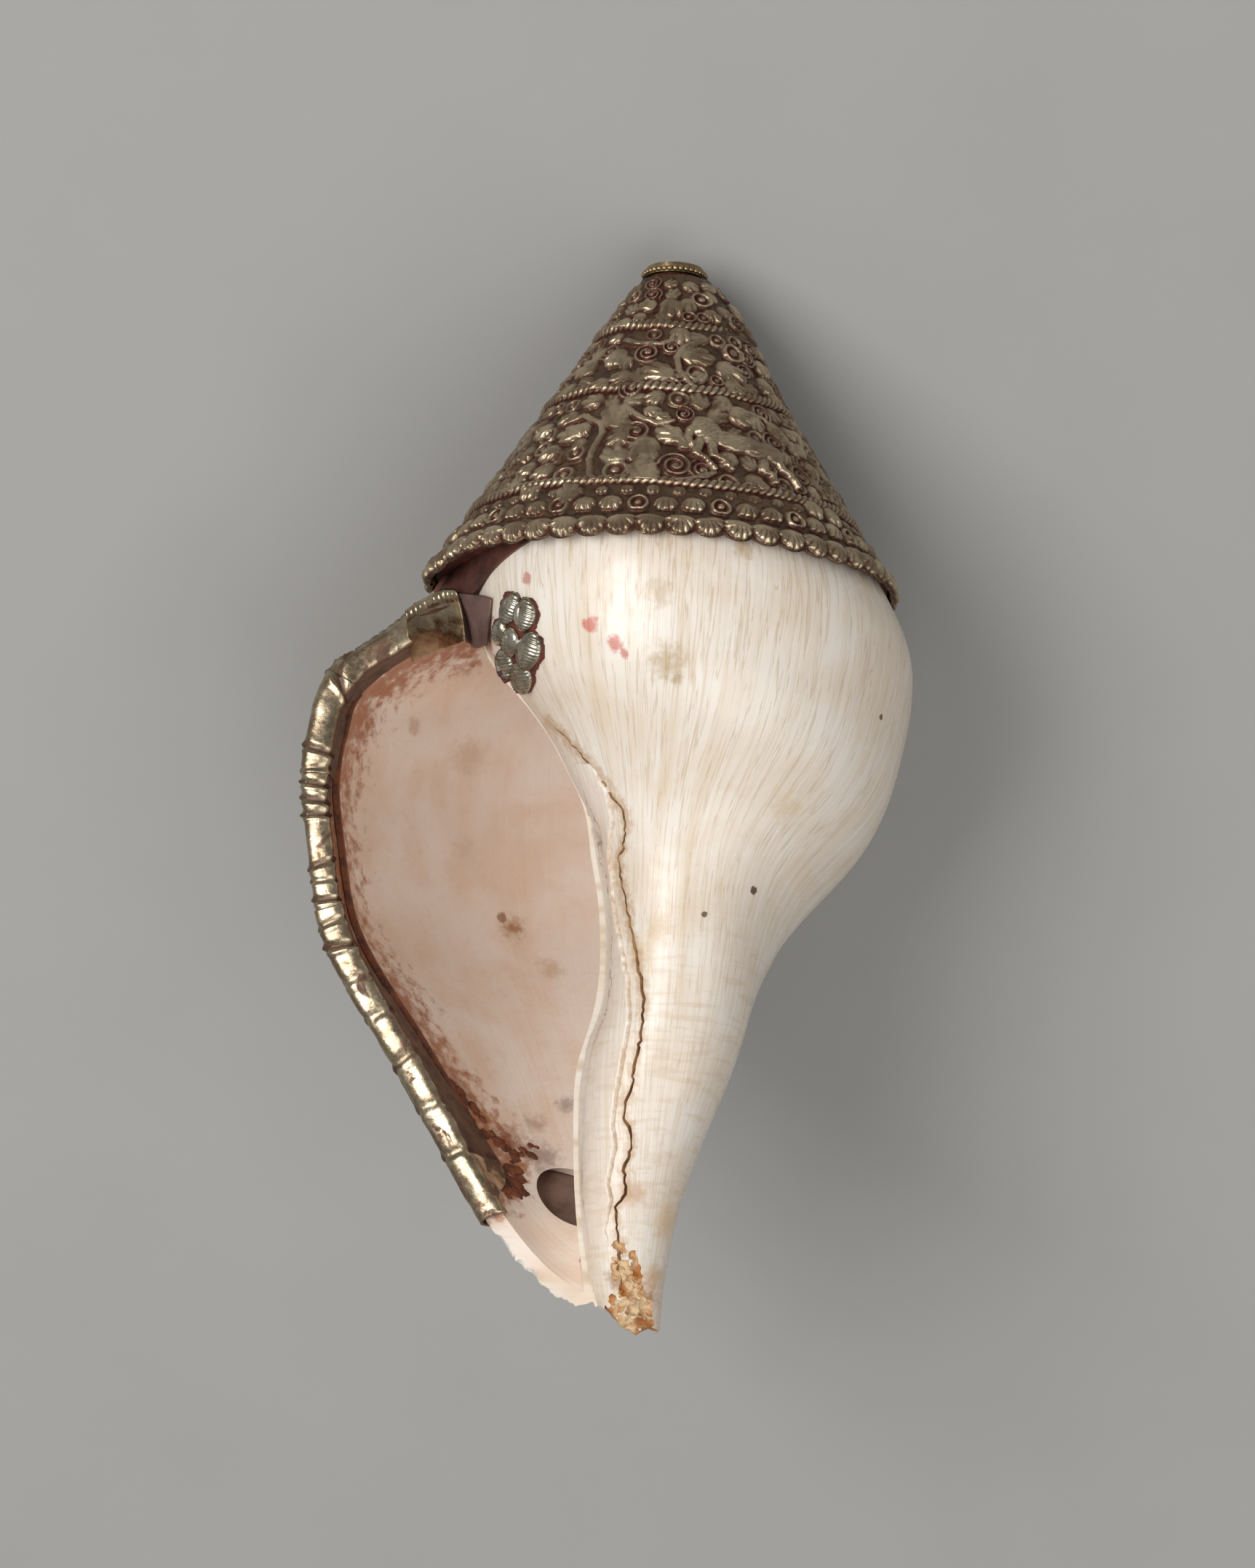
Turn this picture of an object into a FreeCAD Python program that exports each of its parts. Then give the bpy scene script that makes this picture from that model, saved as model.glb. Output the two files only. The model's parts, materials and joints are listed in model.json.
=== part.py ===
import FreeCAD, Part
import math
import os

import Sketcher
from FreeCAD import Placement, Rotation, Vector

# A conch trumpet: a left-handed shell whose cut spire carries an embossed metal cover with a
# blow hole, whose outer lip is bound with folded strips, and whose face carries small fittings.
#
# Every form is built in the shell's own frame. The coiling axis is Z, with the apex up and the
# tip of the canal at zero height. A drop is a distance down the axis from the ideal point where
# an uncut spire would end. An angle runs back along the shell's growth, from zero at the lip.

doc = FreeCAD.newDocument("ConchTrumpet")
sheet = doc.addObject("Spreadsheet::Sheet", "Dimensions")
sheet.Label = "Dimensions"

# Driving dimensions in millimetres and degrees, and counts.
DIMENSIONS = (
    ("canal_reach", 194.0, "ideal spire point to the canal's tip, along the axis"),
    ("whorl_reach", 150.0, "length of the whorl's profile where its growth is one"),
    ("whorl_radius", 43.4, "largest radius of that profile"),
    ("canal_radius", 19.8, "largest radius of the canal's column, at the back and right"),
    ("columella_radius", 10.6, "largest radius of the column beside the aperture"),
    ("pillar_radius", 4.0, "radius of the inner pillar where the growth is one"),
    ("growth_per_turn", 1.75, "growth of the whorls in one turn"),
    ("unit_angle", 195.0, "angle back from the lip at which the growth is one"),
    ("lip_azimuth", 172.0, "direction of the lip about the axis"),
    ("shell_wall", 3.2, "thickness of the wall at the lip"),
    ("callus", 0.8, "layer inside a whorl over the whorl before it"),
    ("least_channel", 0.8, "width at which a section of the hollow ends, at growth one"),
    ("body_drop", 57.0, "drop at which the last whorl starts"),
    ("spire_drop", 14.0, "drop of the cut top of the spire"),
    ("bore_radius", 4.4, "hole drilled down the spire"),
    ("bore_drop", 30.0, "drop of the lower end of that hole"),
    ("mouth_drop", 10.7, "drop of the metal mouth"),
    ("mouth_radius", 5.3, "outer radius of the cover at the mouth"),
    ("mouth_hole_radius", 3.8, "radius of the blow hole"),
    ("collar_drop", 22.6, "drop of the first rope wire"),
    ("upper_drop", 36.0, "drop of the second rope wire"),
    ("middle_drop", 55.5, "drop of the third rope wire"),
    ("skirt_drop", 66.0, "drop of the skirt's edge"),
    ("cover_sheet", 0.6, "thickness of the cover, square to the axis"),
    ("bedding", 1.2, "lac between the spire and the cover"),
    ("skirt_bedding", 0.25, "least lac between the last whorl and the skirt"),
    ("seat_gap", 0.06, "gap between parts that lie on one another"),
    ("wire_radius", 0.75, "radius of the rope wires"),
    ("bead_radius", 0.5, "radius of a bead on the mouth"),
    ("bead_count", 35.0, "beads around the mouth"),
    ("petal_count", 50.0, "petals around the skirt"),
    ("petal_foot", 2.35, "radius of a skirt petal where it meets the sheet"),
    ("petal_height", 1.2, "height of a skirt petal"),
    ("petal_inset", 2.0, "distance of the petals' middles above the skirt's edge, down the axis"),
    ("boss_count", 22.0, "bosses in one row around the middle band"),
    ("boss_foot", 2.2, "radius of a boss where it meets the sheet"),
    ("boss_height", 0.7, "height of a boss"),
    ("funnel_sheet", 0.5, "thickness of the blow hole's lining"),
    ("funnel_depth", 13.0, "length of that lining"),
    ("funnel_lip", 1.1, "width of the lining's turned edge"),
    ("rim_height", 1.3, "height of the mouth's ring"),
    ("skirt_inset", 1.0, "height of the lac's lower face above the skirt's edge"),
    ("strip_sheet", 0.5, "thickness of the lip's strips"),
    ("strip_gap", 0.15, "gap between the strips and the lip"),
    ("outer_flange", 8.0, "width of the strips outside the lip"),
    ("inner_flange", 6.0, "width of the strips inside the lip"),
    ("strip_overlap", 5.0, "length by which one strip covers the next"),
    ("lip_start_drop", 70.0, "drop at which the lip's strips start"),
    ("top_strip_run", 14.0, "length of the top strip, down the axis"),
    ("corner_strip_run", 14.0, "length of the corner strip, down the axis"),
    ("side_strip_run", 25.5, "length of the side strip, down the axis"),
    ("foot_strip_run", 51.0, "length of the foot strip, down the axis"),
    ("lac_width", 2.6, "width of the lac bead along the strips"),
    ("lac_height", 0.8, "height of that bead"),
    ("rosette_angle", 331.0, "direction of the rosette's middle"),
    ("rosette_drop", 80.4, "drop of the rosette's middle"),
    ("rosette_length", 16.6, "length of the rosette, down the shell"),
    ("rosette_width", 12.0, "width of the rosette"),
    ("rosette_lac", 0.8, "lac under the rosette"),
    ("rosette_sheet", 0.5, "thickness of the rosette's plate"),
    ("petal_rise", 1.3, "rise of its petals"),
    ("window_angle", 46.0, "direction of the hole in the canal's wall"),
    ("window_drop", 169.5, "drop of that hole"),
    ("window_radius", 5.6, "radius of that hole"),
    ("patch_margin", 1.6, "width by which the patch covers the wall around the hole"),
    ("patch_sheet", 0.5, "thickness of the patch"),
    ("patch_lac", 0.4, "lac under the patch"),
    ("apron_sheet", 0.5, "thickness of the apron and of one layer of its tab"),
    ("apron_drop", 73.5, "drop of the apron's lowest point"),
    ("tab_drop", 79.6, "drop of the tab's lower edge"),
    ("tab_width", 9.0, "width of the tab"),
    ("tab_thickness", 1.1, "thickness of the folded tab"),
    ("overrun", 6.0, "length by which a cutting form runs past what it cuts"),
    ("rest_dip", 27.9, "slope of the axis as the shell lies, apex down"),
    ("rest_lean", 4.28, "turn of the axis on the table, apex to the right"),
    ("rest_roll", -5.01, "turn of the shell about its axis as it lies"),
)


def add_dimension(alias, value, note):
    """One row of the sheet: the note, the value as text and its alias."""
    add_dimension.row += 1
    cell = "B%d" % add_dimension.row
    sheet.set("A%d" % add_dimension.row, note)
    sheet.set(cell, str(value))
    sheet.setAlias(cell, alias)


add_dimension.row = 0
for alias, value, note in DIMENSIONS:
    add_dimension(alias, value, note)
doc.recompute()


def size(alias):
    return float(sheet.get(alias))


# Profiles of the shell. Each pair is a share of a reach and a share of a radius.
# The whorl as seen from the right, as shares of whorl_reach and whorl_radius.
whorl_shares = (
    (0.0, 0.0), (0.133, 0.265), (0.267, 0.532), (0.387, 0.772), (0.433, 0.866), (0.467, 0.926),
    (0.493, 0.962), (0.520, 0.975), (0.553, 0.970), (0.587, 0.950), (0.620, 0.926),
    (0.653, 0.889), (0.687, 0.825), (0.720, 0.726), (0.753, 0.622), (0.787, 0.528),
    (0.820, 0.456), (0.853, 0.385), (0.887, 0.295), (0.920, 0.180), (0.953, 0.075),
    (1.0, 0.023),
)
# The whorl at its lip, as shares of the same two sizes.
lip_shares = (
    (0.0, 0.0), (0.133, 0.265), (0.267, 0.532), (0.333, 0.660), (0.353, 0.712), (0.380, 0.816),
    (0.393, 0.880), (0.407, 0.934), (0.430, 0.968), (0.455, 0.984), (0.480, 0.996),
    (0.504, 0.998), (0.529, 0.989), (0.553, 0.975), (0.578, 0.960), (0.603, 0.943),
    (0.627, 0.918), (0.651, 0.880), (0.675, 0.829), (0.700, 0.773), (0.724, 0.716),
    (0.748, 0.665), (0.773, 0.613), (0.797, 0.562), (0.821, 0.514), (0.845, 0.462),
    (0.869, 0.402), (0.893, 0.331), (0.917, 0.238), (0.941, 0.095), (0.960, 0.020),
    (1.0, 0.010),
)
# The canal's column behind and to the right, as shares of canal_reach and canal_radius.
canal_shares = (
    (0.0, 0.0), (0.309, 0.0), (0.387, 0.455), (0.464, 0.758), (0.541, 0.909), (0.608, 0.985),
    (0.649, 0.990), (0.686, 0.950), (0.711, 0.910), (0.737, 0.853), (0.763, 0.780),
    (0.789, 0.690), (0.814, 0.597), (0.840, 0.505), (0.866, 0.427), (0.892, 0.366),
    (0.918, 0.318), (0.943, 0.283), (0.969, 0.262), (1.0, 0.255),
)
# The column beside the aperture, as shares of canal_reach and columella_radius.
columella_shares = (
    (0.0, 0.0), (0.309, 0.0), (0.387, 0.566), (0.450, 0.860), (0.490, 0.975), (0.528, 0.985),
    (0.574, 0.877), (0.613, 0.730), (0.652, 0.640), (0.697, 0.630), (0.722, 0.717),
    (0.749, 0.870), (0.794, 0.950), (0.845, 0.915), (0.911, 0.790), (0.948, 0.650),
    (0.969, 0.519), (1.0, 0.377),
)

# Directions, as angles back from the lip, between which one profile turns into the next.
LIP_FADE_ANGLE = 150.0
COLUMN_START_ANGLE = 215.0
COLUMN_FADE_ANGLE = 130.0
FULL_TURN = 360.0

# Steps of the surfaces: how finely a form is sampled, in degrees and in counts.
SKIN_STEP_ANGLE = 15.0
SKIN_ROWS = 44
HOLLOW_STEP_ANGLE = 14.0
HOLLOW_FIRST_ANGLE = -6.0
HOLLOW_LAST_ANGLE = 890.0
HOLLOW_SIDE_POINTS = 26
BLEND_POWER = 8.0
HOLLOW_SEED_SHARE = 0.50
SEGMENT_ROWS = 8
INNER_BOTTOM_SHARE = 0.80
CANAL_HELD_ANGLE = 50.0
CANAL_FADE_ANGLE = 120.0
TOP_ROUNDING_SHARE = 0.03
BOTTOM_ROUNDING_SHARE = 0.10
STEEPEST_WALL = 1.5
LIP_PROBE_SHARE = 0.012
STRIP_STEP_SHARE = 0.016
STRIP_LEAST_STEPS = 6
STRIP_BEAD_STEPS = 30
SLAB_COLUMNS = 8
SLAB_ROWS = 8
RELIEF_COLUMNS = 24
RELIEF_ROWS = 32
BLUNT_SHARE = 0.35
APRON_START_ANGLE = 306.0
APRON_POINT_ANGLE = 350.0
APRON_LIFT_ANGLE = 332.0
APRON_END_ANGLE = 359.0
TAB_TAPER_SHARE = 0.4
SLOPE_PROBE_SHARE = 0.002
MARCH_SHARE = 0.004
HALVINGS = 24
HALF_STEP = 0.5
FIX_PRECISION = 1e-5


def smooth(value):
    held = min(max(value, 0.0), 1.0)
    return held * held * (3.0 - 2.0 * held)


def along(shares, place):
    """A smooth curve through pairs of shares, never swinging past them."""
    if place <= shares[0][0]:
        return shares[0][1]
    if place >= shares[-1][0]:
        return shares[-1][1]
    index = max(i for i in range(len(shares) - 1) if shares[i][0] <= place)

    def secant(i):
        return (shares[i + 1][1] - shares[i][1]) / (shares[i + 1][0] - shares[i][0])

    def tangent(i):
        if i == 0:
            return secant(0)
        if i == len(shares) - 1:
            return secant(i - 1)
        before, after = secant(i - 1), secant(i)
        if before * after <= 0.0:
            return 0.0
        return 2.0 * before * after / (before + after)

    width = shares[index + 1][0] - shares[index][0]
    x = (place - shares[index][0]) / width
    start, end = shares[index][1], shares[index + 1][1]
    lead, tail = tangent(index) * width, tangent(index + 1) * width
    cubic = 2.0 * start - 2.0 * end + lead + tail
    square = -3.0 * start + 3.0 * end - 2.0 * lead - tail
    return ((cubic * x + square) * x + lead) * x + start


def blend(*radii):
    """The largest of some radii, with the corner between them rounded."""
    top = max(radii)
    return top * sum((radius / top) ** BLEND_POWER for radius in radii) ** (1.0 / BLEND_POWER)


def growth(angle):
    return size_of["growth_per_turn"] ** ((size_of["unit_angle"] - angle) / FULL_TURN)


def whorl_radius_at(angle, drop):
    scale = growth(angle)
    place = drop / (scale * size_of["whorl_reach"])
    lip_part = 1.0 - smooth(angle / LIP_FADE_ANGLE)
    share = (1.0 - lip_part) * along(whorl_shares, place) + lip_part * along(lip_shares, place)
    return scale * size_of["whorl_radius"] * share


def column_radius_at(angle, drop):
    beside = smooth((angle - COLUMN_START_ANGLE) / COLUMN_FADE_ANGLE)
    place = drop / size_of["canal_reach"]
    canal = size_of["canal_radius"] * along(canal_shares, place)
    columella = size_of["columella_radius"] * along(columella_shares, place)
    return (1.0 - beside) * canal + beside * columella


def skin(angle, drop):
    """Radius of the shell's outer surface at an angle and a drop."""
    return blend(whorl_radius_at(angle, drop), column_radius_at(angle, drop))


size_of = {alias: size(alias) for alias, value, note in DIMENSIONS}

# The cover is a straight cone from the mouth to a skirt that just clears the last whorl.
TURN_PROBES = 24
widest = max(
    skin(FULL_TURN * probe / TURN_PROBES, size_of["skirt_drop"]) for probe in range(TURN_PROBES)
)
add_dimension(
    "skirt_radius",
    widest + size_of["skirt_bedding"] + size_of["cover_sheet"],
    "outer radius of the skirt's edge, over the widest part of the last whorl there",
)
add_dimension(
    "cover_slope",
    "=(skirt_radius - mouth_radius) / (skirt_drop - mouth_drop)",
    "growth of the cover's radius with the drop",
)
add_dimension(
    "cover_stretch",
    "=sqrt(1 + cover_slope * cover_slope)",
    "length across the axis for one length square to the cover",
)
add_dimension(
    "lip_corner_drop", "=lip_start_drop + top_strip_run", "drop of the lip's upper corner")
add_dimension(
    "lip_side_drop", "=lip_corner_drop + corner_strip_run", "drop at which the side strip starts")
add_dimension(
    "lip_foot_drop", "=lip_side_drop + side_strip_run", "drop at which the foot strip starts")
add_dimension(
    "lip_end_drop", "=lip_foot_drop + foot_strip_run", "drop at which the foot strip ends")
add_dimension(
    "petal_ball",
    "=(petal_foot * petal_foot + petal_height * petal_height) / (2 * petal_height)",
    "radius of the ball that a skirt petal is a cap of",
)
add_dimension(
    "boss_ball",
    "=(boss_foot * boss_foot + boss_height * boss_height) / (2 * boss_height)",
    "radius of the ball that a boss is a cap of",
)
doc.recompute()
for alias in ("skirt_radius", "cover_slope", "lip_corner_drop", "lip_side_drop", "lip_foot_drop",
              "lip_end_drop"):
    size_of[alias] = size(alias)


def cover_radius(drop):
    return size_of["mouth_radius"] + size_of["cover_slope"] * (drop - size_of["mouth_drop"])


def spire_radius(drop):
    return cover_radius(drop) - size_of["cover_sheet"] - size_of["bedding"]


def shell_point(angle, drop, radius):
    """A point at an angle back from the lip; the shell coils to the left, so angles turn back."""
    turn = math.radians(size_of["lip_azimuth"] + angle)
    height = size_of["canal_reach"] - drop
    return Vector(radius * math.cos(turn), -radius * math.sin(turn), height)


def curve_through(points):
    """A cubic through points at even parameters, so neighbours share their edges exactly."""
    curve = Part.BSplineCurve()
    curve.interpolate(Points=points, Parameters=[float(k) for k in range(len(points))])
    return curve


def surface_through(rows):
    """A bicubic face through a grid of points, smooth both ways."""
    along_rows = [curve_through(row) for row in rows]
    columns = zip(*[curve.getPoles() for curve in along_rows])
    along_columns = [curve_through(list(column)) for column in columns]
    poles = [list(row) for row in zip(*[curve.getPoles() for curve in along_columns])]
    first, second = along_columns[0], along_rows[0]
    surface = Part.BSplineSurface()
    surface.buildFromPolesMultsKnots(
        poles, first.getMultiplicities(), second.getMultiplicities(),
        first.getKnots(), second.getKnots(), False, False, first.Degree, second.Degree)
    return surface


def turn_segments(rows, per_segment):
    """A long turn of rows cut into segments that share their end rows."""
    starts = range(0, len(rows) - 1, per_segment)
    return [rows[start:start + per_segment + 1] for start in starts]


def planar_face(curves):
    return Part.Face(Part.Wire(Part.__sortEdges__([curve.toShape() for curve in curves])))


def closed_solid(faces):
    solid = Part.makeSolid(Part.makeShell(faces))
    if not solid.isValid():
        solid.fix(FIX_PRECISION, FIX_PRECISION, FIX_PRECISION)
    if solid.Volume < 0.0:
        solid.reverse()
    return solid


def add_form(name, shape, label=None):
    form = doc.addObject("Part::Feature", name)
    form.Label = label or name
    form.Shape = shape
    return form


def expression(terms):
    """Aliases written bare in a sum, turned into the sheet's own names."""
    words = terms.replace("(", " ( ").replace(")", " ) ").split()
    return " ".join("Dimensions." + word if word[0].isalpha() else word for word in words)


def cover_at(drop, less="0"):
    """The cover's radius at a drop, less something, as an expression."""
    return "mouth_radius + cover_slope * (%s - mouth_drop) - (%s)" % (drop, less)


def origin_plane(body):
    return [item for item in body.Origin.OriginFeatures if item.Role == "XZ_Plane"][0]


def outline_sketch(body):
    sketch = body.newObject("Sketcher::SketchObject", body.Name + "Outline")
    sketch.AttachmentSupport = (origin_plane(body), [""])
    sketch.MapMode = "FlatFace"
    return sketch


def fix_vertex(sketch, line, vertex, radius, drop):
    """Ties one vertex of a sketch to a radius and a drop, both sums of aliases."""
    height = "canal_reach - (%s)" % drop
    for kind, terms in (("DistanceX", radius), ("DistanceY", height)):
        value = sketch.evalExpression(expression(terms))
        constraint = Sketcher.Constraint(kind, -1, 1, line, vertex, float(value))
        index = sketch.addConstraint(constraint)
        sketch.setExpression("Constraints[%d]" % index, expression(terms))


def revolve_sketch(body, sketch):
    turned = body.newObject("PartDesign::Revolution", body.Name + "Turned")
    turned.Profile = sketch
    turned.ReferenceAxis = (sketch, ["V_Axis"])
    turned.Angle = FULL_TURN
    sketch.Visibility = False
    return turned


def draw_outline(sketch, outline):
    """A closed outline in a sketch: a list of vertices, each a radius and a drop."""
    doc.recompute()
    places = []
    for radius, drop in outline:
        across = sketch.evalExpression(expression(radius))
        up = sketch.evalExpression(expression("canal_reach - (%s)" % drop))
        places.append(Vector(float(across), float(up), 0))
    count = len(places)
    for index in range(count):
        sketch.addGeometry(Part.LineSegment(places[index], places[(index + 1) % count]))
    for index in range(count):
        meets = Sketcher.Constraint("Coincident", index, 2, (index + 1) % count, 1)
        sketch.addConstraint(meets)
    for index, (radius, drop) in enumerate(outline):
        fix_vertex(sketch, index, 1, radius, drop)


def lathe(name, outline):
    """A turned body with such an outline."""
    body = doc.addObject("PartDesign::Body", name)
    sketch = outline_sketch(body)
    draw_outline(sketch, outline)
    revolve_sketch(body, sketch)
    doc.recompute()
    return body


def ring(name, radius, drop, wire):
    """A ring of round wire around the axis."""
    body = doc.addObject("PartDesign::Body", name)
    sketch = outline_sketch(body)
    doc.recompute()
    across = float(sketch.evalExpression(expression(radius)))
    up = float(sketch.evalExpression(expression("canal_reach - (%s)" % drop)))
    thick = float(sketch.evalExpression(expression(wire)))
    sketch.addGeometry(Part.Circle(Vector(across, up, 0), Vector(0, 0, 1), thick))
    fix_vertex(sketch, 0, 3, radius, drop)
    index = sketch.addConstraint(Sketcher.Constraint("Radius", 0, thick))
    sketch.setExpression("Constraints[%d]" % index, expression(wire))
    revolve_sketch(body, sketch)
    doc.recompute()
    return body


# The solid outside of the last whorl: its skin for one turn, closed at the aperture, the top
# and the tip.
def last_whorl():
    top, tip = size_of["body_drop"], size_of["canal_reach"]
    columns = int(round(FULL_TURN / SKIN_STEP_ANGLE))
    drops = [top + (tip - top) * row / SKIN_ROWS for row in range(SKIN_ROWS + 1)]
    rows = []
    for column in range(columns + 1):
        angle = FULL_TURN * column / columns
        lift = size_of["callus"] * (1.0 - column / columns)
        rows.append([shell_point(angle, drop, skin(angle, drop) + lift * near_top(drop))
                     for drop in drops])
    surfaces = [surface_through(part) for part in turn_segments(rows, SEGMENT_ROWS)]
    tops, tips = [], []
    for surface in surfaces:
        low_u, high_u, low_v, high_v = surface.bounds()
        tops.append(surface.vIso(low_v))
        tips.append(surface.vIso(high_v))
    lip = surfaces[0].uIso(surfaces[0].bounds()[0])
    parietal = surfaces[-1].uIso(surfaces[-1].bounds()[1])
    top_step = Part.LineSegment(rows[0][0], rows[-1][0])
    tip_step = Part.LineSegment(rows[0][-1], rows[-1][-1])
    faces = [surface.toShape() for surface in surfaces]
    faces.append(planar_face([lip, tip_step, parietal, top_step]))
    faces.append(planar_face(tops + [top_step]))
    faces.append(planar_face(tips + [tip_step]))
    return closed_solid(faces)


def near_top(drop):
    """One where the last whorl starts, fading to nothing under the skirt."""
    start = size_of["body_drop"]
    return 1.0 - smooth((drop - start) / (size_of["skirt_drop"] - start))


# The hollow: one coiling tube whose sections lie between the skin less the wall and the whorl
# before it, from the aperture up to the blow hole.
def wall_outside(angle, drop):
    """Radius of the hollow's outer side."""
    limit = spire_radius(drop) + max(0.0, drop - size_of["body_drop"])
    probe = SLOPE_PROBE_SHARE * size_of["whorl_reach"] * growth(angle)
    rise = skin(angle, drop + probe) - skin(angle, drop - probe)
    slope = min(abs(rise / (2.0 * probe)), STEEPEST_WALL)
    wall = size_of["shell_wall"] * growth(max(angle, 0.0)) / growth(0.0)
    return min(skin(angle, drop), limit) - wall * math.hypot(1.0, slope)


def wall_inside(angle, drop):
    """Radius of the hollow's inner side: the whorl one turn earlier, or the pillar."""
    before = angle + FULL_TURN
    pillar = size_of["pillar_radius"] * growth(angle)
    layer = size_of["callus"] * growth(angle) / growth(0.0)
    return blend(skin(before, drop), pillar) + layer


def channel_end(angle, way):
    """The drop at which the hollow closes, upwards or downwards from its widest part."""
    scale = growth(angle)
    step = way * MARCH_SHARE * size_of["whorl_reach"] * scale
    least = size_of["least_channel"] * scale
    drop = HOLLOW_SEED_SHARE * size_of["whorl_reach"] * scale
    while wall_outside(angle, drop) - wall_inside(angle, drop) > least:
        drop += step
    open_drop, shut_drop = drop - step, drop
    for _ in range(HALVINGS):
        middle = (open_drop + shut_drop) / 2.0
        if wall_outside(angle, middle) - wall_inside(angle, middle) > least:
            open_drop = middle
        else:
            shut_drop = middle
    return open_drop


def hollow_bottom(angle):
    """The hollow runs down the canal at the aperture, and ends higher further in."""
    inner = INNER_BOTTOM_SHARE * size_of["whorl_reach"] * growth(angle)
    part = smooth((angle - CANAL_HELD_ANGLE) / CANAL_FADE_ANGLE)
    if part >= 1.0:
        return inner
    return (1.0 - part) * channel_end(angle, 1.0) + part * inner


def hollow_section(angle):
    """The outer and inner sides of one section, both from top to bottom, with shared ends."""
    top, bottom = channel_end(angle, -1.0), hollow_bottom(angle)
    inner_part = smooth((angle - CANAL_HELD_ANGLE) / CANAL_FADE_ANGLE)
    bottom_share = TOP_ROUNDING_SHARE + (BOTTOM_ROUNDING_SHARE - TOP_ROUNDING_SHARE) * inner_part
    count = HOLLOW_SIDE_POINTS
    out, back = [], []
    for k in range(count + 1):
        swing = (1.0 - math.cos(math.pi * k / count)) / 2.0
        drop = top + (bottom - top) * swing
        outer, inner = wall_outside(angle, drop), wall_inside(angle, drop)
        middle, half = (outer + inner) / 2.0, (outer - inner) / 2.0
        at_top = max(0.0, 1.0 - swing / TOP_ROUNDING_SHARE)
        at_bottom = max(0.0, 1.0 - (1.0 - swing) / bottom_share)
        half *= math.sqrt(max(0.0, 1.0 - max(at_top, at_bottom) ** 2))
        out.append(shell_point(angle, drop, middle + half))
        back.append(shell_point(angle, drop, middle - half))
    back[0], back[-1] = out[0], out[-1]
    return out, back


def coiled_hollow():
    span = HOLLOW_LAST_ANGLE - HOLLOW_FIRST_ANGLE
    count = int(round(span / HOLLOW_STEP_ANGLE))
    sections = [hollow_section(HOLLOW_FIRST_ANGLE + span * k / count) for k in range(count + 1)]
    faces, ends = [], []
    for side in (0, 1):
        parts = turn_segments([section[side] for section in sections], SEGMENT_ROWS)
        surfaces = [surface_through(part) for part in parts]
        faces += [surface.toShape() for surface in surfaces]
        first, last = surfaces[0], surfaces[-1]
        ends.append((first.uIso(first.bounds()[0]), last.uIso(last.bounds()[1])))
    for pair in zip(*ends):
        faces.append(planar_face(list(pair)))
    return closed_solid(faces)


# The round hole in the wall of the canal, behind the trough.
def canal_window():
    angle, drop = size_of["window_angle"], size_of["window_drop"]
    inner = shell_point(angle, drop, skin(angle, drop) - size_of["overrun"])
    outward = shell_point(angle, drop, skin(angle, drop)) - inner
    return Part.makeCylinder(size_of["window_radius"], 2.0 * size_of["overrun"], inner, outward)


whorl_form = add_form("WhorlForm", last_whorl())
hollow_form = add_form("HollowForm", coiled_hollow())
window_form = add_form("WindowForm", canal_window())

spire = lathe("Spire", (
    ("0.25 * bore_radius", "spire_drop"),
    (cover_at("spire_drop", "cover_sheet + bedding"), "spire_drop"),
    (cover_at("body_drop", "cover_sheet + bedding"), "body_drop"),
    ("0.5 * whorl_radius", "skirt_drop"),
    ("0.25 * bore_radius", "skirt_drop"),
))
bore = doc.addObject("Part::Cylinder", "Bore")
bore.setExpression("Radius", expression("bore_radius"))
bore.setExpression("Height", expression("bore_drop - mouth_drop"))
bore.setExpression("Placement.Base.z", expression("canal_reach - bore_drop"))


def joined(kind, name, base, tool, label=None):
    result = doc.addObject(kind, name)
    result.Base = base
    result.Tool = tool
    result.Label = label or name
    return result


shell_outside = joined("Part::Fuse", "ShellOutside", whorl_form, spire)
shell_hollowed = joined("Part::Cut", "ShellHollowed", shell_outside, hollow_form)
shell_drilled = joined("Part::Cut", "ShellDrilled", shell_hollowed, bore)
conch_shell = joined("Part::Cut", "ConchShell", shell_drilled, window_form, "conch_shell")
pieces = [conch_shell]


# The metal cover: four conical bands that meet under three rope wires. The middle band has rows
# of embossed bosses, and the skirt a row of petals along its edge.
def emboss(body, name, drop, kind, steps):
    """A row of domes around a band, turned by some steps; each is a cap of a ball."""
    dome = body.newObject("PartDesign::AdditiveSphere", name)
    seat = cover_at(drop, "(%s_ball - %s_height) * cover_stretch" % (kind, kind))
    dome.setExpression("Radius", expression("%s_ball" % kind))
    turn = FULL_TURN * steps / size_of["%s_count" % kind]
    for axis, part in (("x", math.cos(math.radians(turn))), ("y", math.sin(math.radians(turn)))):
        dome.setExpression("Placement.Base.%s" % axis, "(%s) * %r" % (expression(seat), part))
    dome.setExpression("Placement.Base.z", expression("canal_reach - (%s)" % drop))
    doc.recompute()
    domes = body.newObject("PartDesign::PolarPattern", name + "s")
    domes.Originals = [dome]
    domes.Axis = (doc.getObject(body.Name + "Outline"), ["V_Axis"])
    domes.Angle = FULL_TURN
    domes.setExpression("Occurrences", expression("%s_count" % kind))
    body.Tip = domes
    doc.recompute()


def clear_inside(body, top, bottom):
    """Cuts the insides of the domes back to the inner face of the sheet."""
    sketch = body.newObject("Sketcher::SketchObject", body.Name + "Core")
    sketch.AttachmentSupport = (origin_plane(body), [""])
    sketch.MapMode = "FlatFace"
    draw_outline(sketch, (
        (cover_at(top, "cover_sheet"), top),
        (cover_at(bottom, "cover_sheet"), bottom),
        ("bore_radius", bottom),
        ("bore_radius", top),
    ))
    core = body.newObject("PartDesign::Groove", body.Name + "Cleared")
    core.Profile = sketch
    core.ReferenceAxis = (sketch, ["V_Axis"])
    core.Angle = FULL_TURN
    sketch.Visibility = False
    doc.recompute()


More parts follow.
